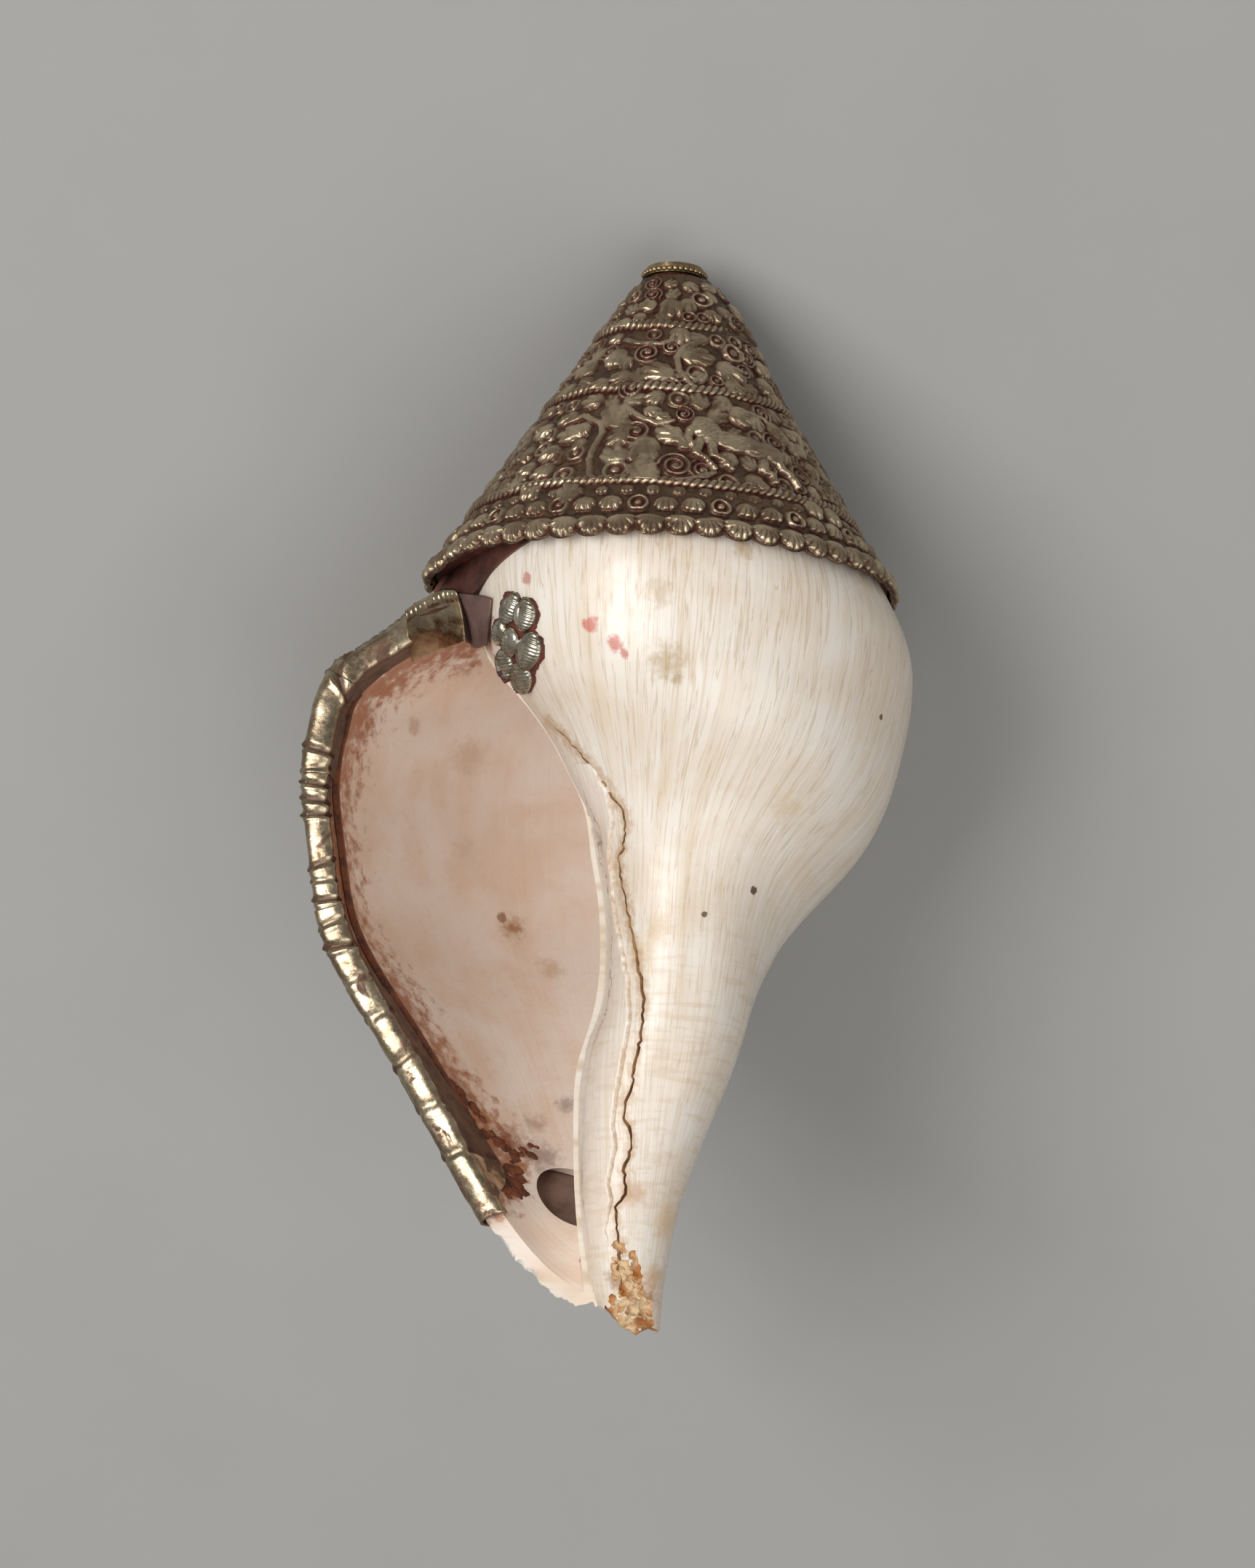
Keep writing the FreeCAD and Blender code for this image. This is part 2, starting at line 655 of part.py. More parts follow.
def band(name, label, top, bottom, domes=()):
    body = lathe(name, (
        (cover_at(top), top),
        (cover_at(bottom), bottom),
        (cover_at(bottom, "cover_sheet"), bottom),
        (cover_at(top, "cover_sheet"), top),
    ))
    body.Label = label
    for row, (drop, kind, steps) in enumerate(domes):
        emboss(body, "%s%s%d" % (name, kind.title(), row), drop, kind, steps)
    if domes:
        clear_inside(body, "(%s) - overrun" % top, "(%s) + overrun" % bottom)
    return body


# Rows of bosses: each has its place as a share of the middle band, and its turn as a share of
# the step between two bosses.
BOSS_ROWS = ((0.24, 0.0), (0.51, HALF_STEP), (0.78, 0.0))
boss_domes = [("upper_drop + %r * (middle_drop - upper_drop)" % place, "boss", steps)
              for place, steps in BOSS_ROWS]
BANDS = (
    ("Collar", "cover_collar", "mouth_drop", "collar_drop - seat_gap", ()),
    ("UpperBand", "cover_upper_band", "collar_drop", "upper_drop - seat_gap", ()),
    ("MiddleBand", "cover_middle_band", "upper_drop", "middle_drop - seat_gap", boss_domes),
    ("Skirt", "cover_skirt", "middle_drop", "skirt_drop",
     (("skirt_drop - petal_inset", "petal", 0.0),)),
)
for name, label, top, bottom, domes in BANDS:
    pieces.append(band(name, label, top, bottom, domes))

WIRE_SEAT = "(wire_radius + seat_gap) * cover_stretch"
for name, label, drop in (
    ("UpperRope", "rope_wire_upper", "collar_drop"),
    ("MiddleRope", "rope_wire_middle", "upper_drop"),
    ("LowerRope", "rope_wire_lower", "middle_drop"),
):
    rope = ring(name, "%s + %s" % (cover_at(drop), WIRE_SEAT), drop, "wire_radius")
    rope.Label = label
    pieces.append(rope)

# The mouth: a ring with beads around it, and the lining of the blow hole with its turned edge.
rim = lathe("MouthRim", (
    ("mouth_hole_radius + funnel_sheet + seat_gap", "mouth_drop - seat_gap"),
    ("mouth_radius", "mouth_drop - seat_gap"),
    ("mouth_radius", "mouth_drop - rim_height"),
    ("mouth_hole_radius + funnel_sheet + seat_gap", "mouth_drop - rim_height"),
))
rim.Label = "mouth_rim"
bead = rim.newObject("PartDesign::AdditiveSphere", "Bead")
bead.setExpression("Radius", expression("bead_radius"))
bead.setExpression("Placement.Base.x", expression("mouth_radius"))
bead.setExpression("Placement.Base.z", expression("canal_reach - mouth_drop + 0.5 * rim_height"))
doc.recompute()
beads = rim.newObject("PartDesign::PolarPattern", "Beads")
beads.Originals = [bead]
beads.Axis = (doc.getObject("MouthRimOutline"), ["V_Axis"])
beads.Angle = FULL_TURN
beads.setExpression("Occurrences", expression("bead_count"))
rim.Tip = beads
pieces.append(rim)

funnel = lathe("MouthFunnel", (
    ("mouth_hole_radius", "mouth_drop - rim_height - seat_gap - funnel_sheet"),
    ("mouth_hole_radius + funnel_lip", "mouth_drop - rim_height - seat_gap - funnel_sheet"),
    ("mouth_hole_radius + funnel_lip", "mouth_drop - rim_height - seat_gap"),
    ("mouth_hole_radius + funnel_sheet", "mouth_drop - rim_height - seat_gap"),
    ("mouth_hole_radius + funnel_sheet", "mouth_drop + funnel_depth"),
    ("mouth_hole_radius", "mouth_drop + funnel_depth"),
))
funnel.Label = "mouth_funnel"
pieces.append(funnel)

# The lac that beds the cover on the spire, and fills the room under the skirt.
LAC_FOOT = "skirt_drop - skirt_inset"
lac_cone = lathe("LacCone", (
    ("mouth_hole_radius + funnel_sheet + seat_gap", "mouth_drop"),
    (cover_at("mouth_drop", "cover_sheet + seat_gap"), "mouth_drop"),
    (cover_at(LAC_FOOT, "cover_sheet + seat_gap"), LAC_FOOT),
    (cover_at("body_drop", "cover_sheet + 3 * bedding"), LAC_FOOT),
    (cover_at("body_drop", "cover_sheet + bedding - seat_gap"), "body_drop"),
    (cover_at("spire_drop", "cover_sheet + bedding - seat_gap"), "spire_drop"),
    ("mouth_hole_radius + funnel_sheet + seat_gap", "spire_drop"),
))
pieces.append(joined("Part::Cut", "SpireBedding", lac_cone, whorl_form, "spire_bedding"))


# The strips folded over the lip. Sections lie square to the lip's edge, in places measured
# backwards from the aperture and outwards from the skin.
def lip_slope(drop):
    probe = LIP_PROBE_SHARE * size_of["whorl_reach"]
    return (skin(0.0, drop + probe) - skin(0.0, drop - probe)) / (2.0 * probe)


def lip_place(drop, back, out):
    """A point beside the lip: back along the whorl, and out from the skin there."""
    slope = lip_slope(drop)
    square = math.hypot(1.0, slope)
    edge = skin(0.0, drop)
    turn = back / edge
    fall = (skin(math.degrees(turn), drop) * math.cos(turn) - edge) / square
    outward = out + (fall if back > 0.0 else 0.0)
    radial, down = outward / square, -outward * slope / square
    base = shell_point(0.0, drop + down, edge + radial)
    ahead = shell_point(FULL_TURN / 4.0, drop, back) - shell_point(0.0, drop, 0.0)
    return base + ahead


def folded_section(drop, lift):
    """The outline of a strip that is folded over the lip, lifted off it by an amount."""
    near = size_of["strip_gap"] + lift
    far = near + size_of["strip_sheet"]
    wall = size_of["shell_wall"]
    wide, deep = size_of["outer_flange"], size_of["inner_flange"]
    places = (
        (wide, far), (wide / 2.0, far), (-far, far), (-far, -wall - far),
        (deep / 2.0, -wall - far), (deep, -wall - far), (deep, -wall - near),
        (deep / 2.0, -wall - near), (-near, -wall - near), (-near, near), (wide / 2.0, near),
        (wide, near),
    )
    return [lip_place(drop, back, out) for back, out in places]


def bead_section(drop):
    """The outline of the lac bead beside the inner flange."""
    start = size_of["inner_flange"] + size_of["strip_gap"]
    end = start + size_of["lac_width"]
    top = -size_of["shell_wall"] - 2.0 * size_of["strip_gap"]
    low = top - size_of["lac_height"]
    places = ((start, top), (start, low), ((start + end) / 2.0, low), (end, top))
    return [lip_place(drop, back, out) for back, out in places]


def railed_solid(sections):
    """A solid through outlines with as many corners each, straight between the rails."""
    count = len(sections[0])
    rails = [curve_through([section[k] for section in sections]).toShape() for k in range(count)]
    faces = [Part.makeRuledSurface(rails[k], rails[(k + 1) % count]) for k in range(count)]
    for section in (sections[0], sections[-1]):
        faces.append(Part.Face(Part.makePolygon(section + [section[0]])))
    return closed_solid(faces)


def lip_strip(start, end, rides):
    """A strip from one drop to another. Where it rides, it starts on top of its neighbour."""
    reach = size_of["strip_overlap"]
    step = size_of["strip_sheet"] + size_of["strip_gap"]
    last = end + (reach if end < size_of["lip_end_drop"] else 0.0)
    spacing = STRIP_STEP_SHARE * size_of["whorl_reach"]
    count = max(STRIP_LEAST_STEPS, int(round((last - start) / spacing)))
    drops = [start + (last - start) * k / count for k in range(count + 1)]
    lifts = [step * (1.0 - smooth((drop - start - reach) / reach)) if rides else 0.0
             for drop in drops]
    return railed_solid([folded_section(drop, lift) for drop, lift in zip(drops, lifts)])


STRIPS = (
    ("LipStripTop", "lip_strip_top", "lip_start_drop", "lip_corner_drop"),
    ("LipStripCorner", "lip_strip_corner", "lip_corner_drop", "lip_side_drop"),
    ("LipStripSide", "lip_strip_side", "lip_side_drop", "lip_foot_drop"),
    ("LipStripFoot", "lip_strip_foot", "lip_foot_drop", "lip_end_drop"),
)
for name, label, start, end in STRIPS:
    rides = start != "lip_start_drop"
    pieces.append(add_form(name, lip_strip(size_of[start], size_of[end], rides), label))

lac_start, lac_run = size_of["lip_corner_drop"], size_of["lip_end_drop"] - size_of["lip_corner_drop"]
lac_drops = [lac_start + lac_run * k / STRIP_BEAD_STEPS for k in range(STRIP_BEAD_STEPS + 1)]
lac_bead = railed_solid([bead_section(drop) for drop in lac_drops])
pieces.append(add_form("LipCement", lac_bead, "lip_cement"))


# Sheets and lac that follow the skin: a slab between two radii over a patch of angles and drops.
# Its thickness is a size, or a function of the angle and drop.
def slab(drops, angles_at, radius_at, thickness_at, columns=SLAB_COLUMNS):
    inner, outer = [], []
    for drop in drops:
        low, high = angles_at(drop)
        angles = [low + (high - low) * k / columns for k in range(columns + 1)]
        radii = [radius_at(angle, drop) for angle in angles]
        tops = [radius + thickness_at(angle, drop) for angle, radius in zip(angles, radii)]
        inner.append([shell_point(a, drop, radius) for a, radius in zip(angles, radii)])
        outer.append([shell_point(a, drop, radius) for a, radius in zip(angles, tops)])
    below, above = surface_through(inner), surface_through(outer)
    low_u, high_u, low_v, high_v = below.bounds()
    faces = [below.toShape(), above.toShape()]
    for place in (low_u, high_u):
        edges = [surface.uIso(place).toShape() for surface in (below, above)]
        faces.append(Part.makeRuledSurface(*edges))
    for place in (low_v, high_v):
        edges = [surface.vIso(place).toShape() for surface in (below, above)]
        faces.append(Part.makeRuledSurface(*edges))
    return closed_solid(faces)


def even_drops(top, bottom, rows=SLAB_ROWS):
    return [top + (bottom - top) * k / rows for k in range(rows + 1)]


def oval_angles(angle, drop, width, length):
    """The angles covered at each drop by an oval with blunt ends."""
    def angles_at(place):
        share = 2.0 * (place - drop) / length
        half = width / 2.0 * max(BLUNT_SHARE, math.sqrt(max(0.0, 1.0 - share * share)))
        spread = math.degrees(half / skin(angle, place))
        return angle - spread, angle + spread
    return angles_at


def rosette_slab(offset, thickness_at, columns=SLAB_COLUMNS, rows=SLAB_ROWS):
    angle, drop = size_of["rosette_angle"], size_of["rosette_drop"]
    length = size_of["rosette_length"]
    return slab(
        even_drops(drop - length / 2.0, drop + length / 2.0, rows),
        oval_angles(angle, drop, size_of["rosette_width"], length),
        lambda a, d: skin(a, d) + offset, thickness_at, columns)


# Petals of the rosette: each has its place as shares of the rosette's width and length, then
# its own width and length as shares of the same two sizes.
petal_shares = (
    (0.0, 0.02, 0.32, 0.36), (-0.26, -0.22, 0.28, 0.34), (0.24, -0.26, 0.28, 0.34),
    (-0.30, 0.14, 0.26, 0.34), (0.30, 0.12, 0.26, 0.34), (0.0, -0.36, 0.28, 0.24),
    (0.02, 0.36, 0.30, 0.26),
)


def rosette_relief(angle, drop):
    """Height of the plate over its lac: the sheet, and a dome for each petal."""
    middle = size_of["rosette_angle"]
    arc = math.radians(angle - middle) * skin(middle, drop) / size_of["rosette_width"]
    down = (drop - size_of["rosette_drop"]) / size_of["rosette_length"]
    domes = [
        1.0 - ((arc - across) / (width / 2.0)) ** 2 - ((down - along_it) / (length / 2.0)) ** 2
        for across, along_it, width, length in petal_shares
    ]
    return size_of["rosette_sheet"] + size_of["petal_rise"] * math.sqrt(max(0.0, max(domes)))


rosette_base = size_of["seat_gap"]
rosette_top = rosette_base + size_of["rosette_lac"] + size_of["seat_gap"]
rosette_lac = rosette_slab(rosette_base, lambda a, d: size_of["rosette_lac"])
pieces.append(add_form("RosetteBedding", rosette_lac, "rosette_bedding"))
plate = rosette_slab(rosette_top, rosette_relief, RELIEF_COLUMNS, RELIEF_ROWS)
pieces.append(add_form("RosettePlate", plate, "rosette_plate"))


# The patch behind the hole in the canal's wall, on its lac.
def patch_slab(offset, thickness):
    angle, drop = size_of["window_angle"], size_of["window_drop"]
    reach = size_of["window_radius"] + size_of["patch_margin"]
    return slab(
        even_drops(drop - reach, drop + reach), oval_angles(angle, drop, 2.0 * reach, 2.0 * reach),
        lambda a, d: skin(a, d) + offset, lambda a, d: thickness)


patch_base = 2.0 * size_of["seat_gap"]
patch_lac = patch_slab(patch_base, size_of["patch_lac"]).cut(window_form.Shape)
pieces.append(add_form("PatchCement", patch_lac, "patch_cement"))
patch_top = patch_base + size_of["patch_lac"] + size_of["seat_gap"]
patch = patch_slab(patch_top, size_of["patch_sheet"])
pieces.append(add_form("CanalPatch", patch, "canal_patch"))


# The apron under the skirt, and the folded tab that hangs from it over the aperture's corner.
apron_top = size_of["skirt_drop"] - size_of["skirt_inset"] + size_of["seat_gap"]
tab_top = size_of["apron_drop"] + size_of["seat_gap"]


def apron_angles(drop):
    part = max(0.0, (drop - apron_top) / (size_of["apron_drop"] - apron_top))
    start = APRON_START_ANGLE + (APRON_POINT_ANGLE - APRON_START_ANGLE) * part
    return start, APRON_END_ANGLE


def apron_radius(angle, drop):
    """The apron leaves the skin and reaches across to the lip."""
    part = smooth((angle - APRON_LIFT_ANGLE) / (APRON_END_ANGLE - APRON_LIFT_ANGLE))
    reach = skin(0.0, drop) - size_of["shell_wall"] / 2.0
    return (1.0 - part) * (skin(angle, drop) + size_of["seat_gap"]) + part * reach


def tab_angles(drop):
    part = (drop - tab_top) / (size_of["tab_drop"] - tab_top)
    spread = math.degrees(size_of["tab_width"] / skin(APRON_END_ANGLE, drop))
    return APRON_END_ANGLE - spread * (1.0 - TAB_TAPER_SHARE * part), APRON_END_ANGLE


def tab_radius(angle, drop):
    return skin(angle, drop) + size_of["seat_gap"]


apron = slab(even_drops(apron_top, size_of["apron_drop"]), apron_angles, apron_radius,
             lambda a, d: size_of["apron_sheet"])
pieces.append(add_form("ApronSheet", apron, "apron_sheet"))
tab = slab(even_drops(tab_top, size_of["tab_drop"]), tab_angles, tab_radius,
           lambda a, d: size_of["tab_thickness"])
pieces.append(add_form("ApronTab", tab, "apron_tab"))
doc.recompute()

# The whole conch lies on its back with the aperture up, apex lowered, over the origin.
rest_turn = Rotation(Vector(0, 0, 1), -size_of["rest_lean"])
rest_turn = rest_turn.multiply(Rotation(Vector(1, 0, 0), -FULL_TURN / 4.0 - size_of["rest_dip"]))
rest_turn = rest_turn.multiply(Rotation(Vector(0, 0, 1), size_of["rest_roll"]))
for piece in pieces:
    piece.Placement = Placement(Vector(0, 0, 0), rest_turn)
doc.recompute()
boxes = [piece.Shape.optimalBoundingBox(False, False) for piece in pieces]
middle_x = (min(box.XMin for box in boxes) + max(box.XMax for box in boxes)) / 2.0
middle_y = (min(box.YMin for box in boxes) + max(box.YMax for box in boxes)) / 2.0
floor = min(box.ZMin for box in boxes)
for piece in pieces:
    piece.Placement = Placement(Vector(-middle_x, -middle_y, -floor), rest_turn)
doc.recompute()

os.makedirs("parts", exist_ok=True)
for item in doc.Objects:
    if "Invalid" in item.State or "Error" in item.State:
        raise RuntimeError("%s did not recompute" % item.Label)
for piece in pieces:
    if not piece.Shape.isValid() or piece.Shape.Volume <= 0.0:
        raise RuntimeError("%s is not a valid solid" % piece.Label)
    print(piece.Label, len(piece.Shape.Solids), "solids", round(piece.Shape.Volume, 1), "mm3")
    piece.Shape.exportStep("parts/%s.step" % piece.Label)
mouth = Placement(Vector(-middle_x, -middle_y, -floor), rest_turn).multVec(
    Vector(0, 0, size_of["canal_reach"] - size_of["mouth_drop"]))
print("origin shift", [round(c, 3) for c in (-middle_x, -middle_y, -floor)])
print("middle of the mouth", [round(c, 3) for c in mouth])
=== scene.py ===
"""Looks of the conch trumpet: a left-handed chank shell, an embossed brass cover and folded strips."""

import json
import math
import random

import bpy
import numpy as np
from mathutils import Matrix, Vector, noise
from mathutils.bvhtree import BVHTree


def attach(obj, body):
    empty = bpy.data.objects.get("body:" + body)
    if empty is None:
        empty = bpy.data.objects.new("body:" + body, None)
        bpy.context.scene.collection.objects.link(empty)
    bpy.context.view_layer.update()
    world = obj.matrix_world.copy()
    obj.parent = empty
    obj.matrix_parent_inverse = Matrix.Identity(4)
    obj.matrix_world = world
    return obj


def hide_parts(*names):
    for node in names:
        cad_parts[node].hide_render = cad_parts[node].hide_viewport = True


MM = 0.001

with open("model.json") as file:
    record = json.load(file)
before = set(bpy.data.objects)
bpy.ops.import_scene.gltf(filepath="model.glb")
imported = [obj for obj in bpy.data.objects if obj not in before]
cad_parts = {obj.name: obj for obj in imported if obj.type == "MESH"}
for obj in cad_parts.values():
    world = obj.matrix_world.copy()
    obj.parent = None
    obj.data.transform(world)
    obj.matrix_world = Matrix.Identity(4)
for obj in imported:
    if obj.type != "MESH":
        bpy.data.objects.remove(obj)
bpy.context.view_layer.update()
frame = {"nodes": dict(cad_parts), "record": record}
nodes = frame["nodes"]
mounts = {mount["name"]: mount for mount in frame["record"]["mounts"]}

# The shell's own directions: towards its apex, out of its mouth, and to the right of both.
UP = Vector(mounts["blow_hole"]["axis"]).normalized()
OUT = Vector(mounts["aperture"]["axis"]).normalized()
RIGHT = UP.cross(OUT).normalized()
BORE_MIDDLE = Vector(mounts["blow_hole"]["pos_m"])
BORE_MIDDLE_DROP = 16.2
LIP_AZIMUTH = 172.0
# Rays towards the axis start this many millimetres from it, and end after this many metres.
RAY_START, RAY_LENGTH = 60.0, 0.1

# The photograph's camera, in the shell's own directions. Pixels are those of the whole picture.
VIEW_TILT = 12.0
VIEW_ROLL = 2.55
MM_PER_PIXEL = 0.123
VIEW_DISTANCE = 900.0
ANCHOR_DROP = 99.0
ANCHOR_PIXEL = (897.5, 1073.0)
MIDDLE_PIXEL = (862.5, 1078.0)
LONG_SIDE = 2156.0
SENSOR = 36.0


def on_axis(drop):
    """The point of the shell's axis that lies drop millimetres below its apex."""
    return BORE_MIDDLE + UP * ((BORE_MIDDLE_DROP - drop) * MM)


def outward(angle):
    """The direction away from the axis, angle degrees round from the lip."""
    turned = math.radians(LIP_AZIMUTH + angle)
    return RIGHT * math.cos(turned) + OUT * math.sin(turned)


def place(angle, drop, radius):
    """A point of the model from an angle in degrees and millimetres of drop and radius."""
    return on_axis(drop) + outward(angle) * (radius * MM)


def places(angles, drops, radii):
    """Points of the model from arrays of angles, drops and radii, with x, y and z on the last side."""
    turned = np.radians(LIP_AZIMUTH + angles)[..., None]
    away = np.cos(turned) * np.array(RIGHT) + np.sin(turned) * np.array(OUT)
    foot = np.array(BORE_MIDDLE) + (BORE_MIDDLE_DROP - drops)[..., None] * MM * np.array(UP)
    return foot + away * radii[..., None] * MM


def whereabouts(point):
    """The angle, drop and radius of a point of the model."""
    offset = point - BORE_MIDDLE
    drop = BORE_MIDDLE_DROP - offset.dot(UP) / MM
    across, ahead = offset.dot(RIGHT), offset.dot(OUT)
    angle = (math.degrees(math.atan2(ahead, across)) - LIP_AZIMUTH) % 360.0
    return angle, drop, math.hypot(across, ahead) / MM


def colour(text):
    """A linear RGBA colour from a hex string."""
    parts = [int(text[i:i + 2], 16) / 255 for i in (1, 3, 5)]
    linear = [p / 12.92 if p <= 0.04045 else ((p + 0.055) / 1.055) ** 2.4 for p in parts]
    return (*linear, 1.0)


def make_camera():
    """The camera, and its directions forward, up and right."""
    tilt, roll = math.radians(VIEW_TILT), math.radians(VIEW_ROLL)
    forward = UP * math.sin(tilt) - OUT * math.cos(tilt)
    level = UP * math.cos(tilt) + OUT * math.sin(tilt)
    upward = level * math.cos(roll) - RIGHT * math.sin(roll)
    rightward = RIGHT * math.cos(roll) + level * math.sin(roll)
    data = bpy.data.cameras.new("camera")
    camera = bpy.data.objects.new("camera", data)
    bpy.context.scene.collection.objects.link(camera)
    across = (ANCHOR_PIXEL[0] - MIDDLE_PIXEL[0]) * MM_PER_PIXEL
    down = (ANCHOR_PIXEL[1] - MIDDLE_PIXEL[1]) * MM_PER_PIXEL
    spot = on_axis(ANCHOR_DROP) - (forward * VIEW_DISTANCE + rightward * across - upward * down) * MM
    turn = Matrix((rightward, upward, -forward)).transposed()
    camera.matrix_world = Matrix.Translation(spot) @ turn.to_4x4()
    data.sensor_width = SENSOR
    data.lens = VIEW_DISTANCE / (LONG_SIDE * MM_PER_PIXEL) * SENSOR
    data.clip_start, data.clip_end = 0.05, 10.0
    bpy.context.scene.camera = camera
    return spot, forward, upward, rightward


view_spot, view_forward, view_up, view_right = make_camera()


def pixel_ray(across, down):
    """The direction from the camera through a pixel of the photograph."""
    return (view_forward * VIEW_DISTANCE + view_right * ((across - MIDDLE_PIXEL[0]) * MM_PER_PIXEL)
        - view_up * ((down - MIDDLE_PIXEL[1]) * MM_PER_PIXEL)).normalized()


def pixels_of(points):
    """The photograph's pixels at which an array of points shows."""
    offsets = points - np.array(view_spot)
    depth = offsets @ np.array(view_forward)
    scale = VIEW_DISTANCE / MM_PER_PIXEL / depth
    return (MIDDLE_PIXEL[0] + offsets @ np.array(view_right) * scale,
        MIDDLE_PIXEL[1] - offsets @ np.array(view_up) * scale)


def tree_of(*names):
    """A search tree over the CAD nodes of these names."""
    corners, faces = [], []
    for name in names:
        mesh = nodes[name].data
        start = len(corners)
        corners += [v.co.copy() for v in mesh.vertices]
        faces += [[start + i for i in p.vertices] for p in mesh.polygons]
    return BVHTree.FromPolygons(corners, faces)


COVER_NODES = ("cover_collar", "cover_upper_band", "cover_middle_band", "cover_skirt")
cover_tree = tree_of(*COVER_NODES)
shell_tree = tree_of("conch_shell")


def seen_point(tree, across, down):
    """Where the camera's ray through a pixel meets a tree, and the normal there."""
    hit, normal, _, _ = tree.ray_cast(view_spot, pixel_ray(across, down))
    return hit, normal


def met_radius(tree, angle, drop, start, way=-1.0):
    """The radius at which a ray along the radius meets a tree, or None."""
    hit = tree.ray_cast(place(angle, drop, start), outward(angle) * way, RAY_LENGTH)
    if hit[0] is None:
        return None
    return start + way * hit[3] / MM


def only(piece):
    """Leaves one piece selected and active, because operators act on all that is selected."""
    bpy.ops.object.select_all(action="DESELECT")
    piece.select_set(True)
    bpy.context.view_layer.objects.active = piece


def weld(piece, reach=0.01):
    """Merges the corners that lie on each other, as at the seam of a ring."""
    only(piece)
    bpy.ops.object.mode_set(mode="EDIT")
    bpy.ops.mesh.select_all(action="SELECT")
    bpy.ops.mesh.remove_doubles(threshold=reach * MM)
    bpy.ops.object.mode_set(mode="OBJECT")


def shape_with(piece, kind, **settings):
    """Adds a modifier to a piece and applies it."""
    only(piece)
    modifier = piece.modifiers.new(kind.lower(), kind)
    for name, value in settings.items():
        setattr(modifier, name, value)
    bpy.ops.object.modifier_apply(modifier=modifier.name)


def sheet_piece(name, points):
    """A sheet started as a flat grid, whose rows and columns are then laid out on their places."""
    rows, columns = points.shape[:2]
    bpy.ops.object.select_all(action="DESELECT")
    bpy.ops.mesh.primitive_grid_add(x_subdivisions=columns - 1, y_subdivisions=rows - 1, size=1.0)
    piece = bpy.context.object
    piece.name = piece.data.name = name
    piece.data.vertices.foreach_set("co", points.astype(np.float32).ravel())
    piece.data.update()
    bpy.ops.object.shade_smooth()
    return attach(piece, "root")


def store(piece, name, values):
    """Keeps one number per corner on a piece, for its material."""
    attribute = piece.data.attributes.new(name, "FLOAT", "POINT")
    attribute.data.foreach_set("value", np.asarray(values, np.float32).ravel())


def dress(piece, material, slot, *replaced):
    """Gives a piece its material, and hides the nodes that it stands for. Its slot is not used."""
    piece.data.materials.clear()
    piece.data.materials.append(material)
    if replaced:
        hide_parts(*replaced)


def feed(tree, made, inputs):
    """Sets the inputs of a node, or links them where the value is another node's output."""
    for name, value in inputs.items():
        if isinstance(value, bpy.types.NodeSocket):
            tree.links.new(value, made.inputs[name])
        else:
            made.inputs[name].default_value = value


def add(tree, kind, inputs, output=0, **settings):
    """Adds a node with its settings and links, and gives the output that is wanted."""
    made = tree.nodes.new("ShaderNode" + kind)
    for name, value in settings.items():
        setattr(made, name, value)
    feed(tree, made, inputs)
    return made.outputs[output]


SMOOTH = {"interpolation_type": "SMOOTHSTEP"}
COLOURS = {"data_type": "RGBA"}


def per(size):
    """The scale at which a pattern's features are size millimetres across."""
    return 1.0 / (size * MM)


def begin(name):
    """An empty material, its tree, its shader and the piece's own coordinates."""
    material = bpy.data.materials.new(name)
    material.use_nodes = True
    tree = material.node_tree
    return material, tree, tree.nodes["Principled BSDF"], add(tree, "TexCoord", {}, "Object")


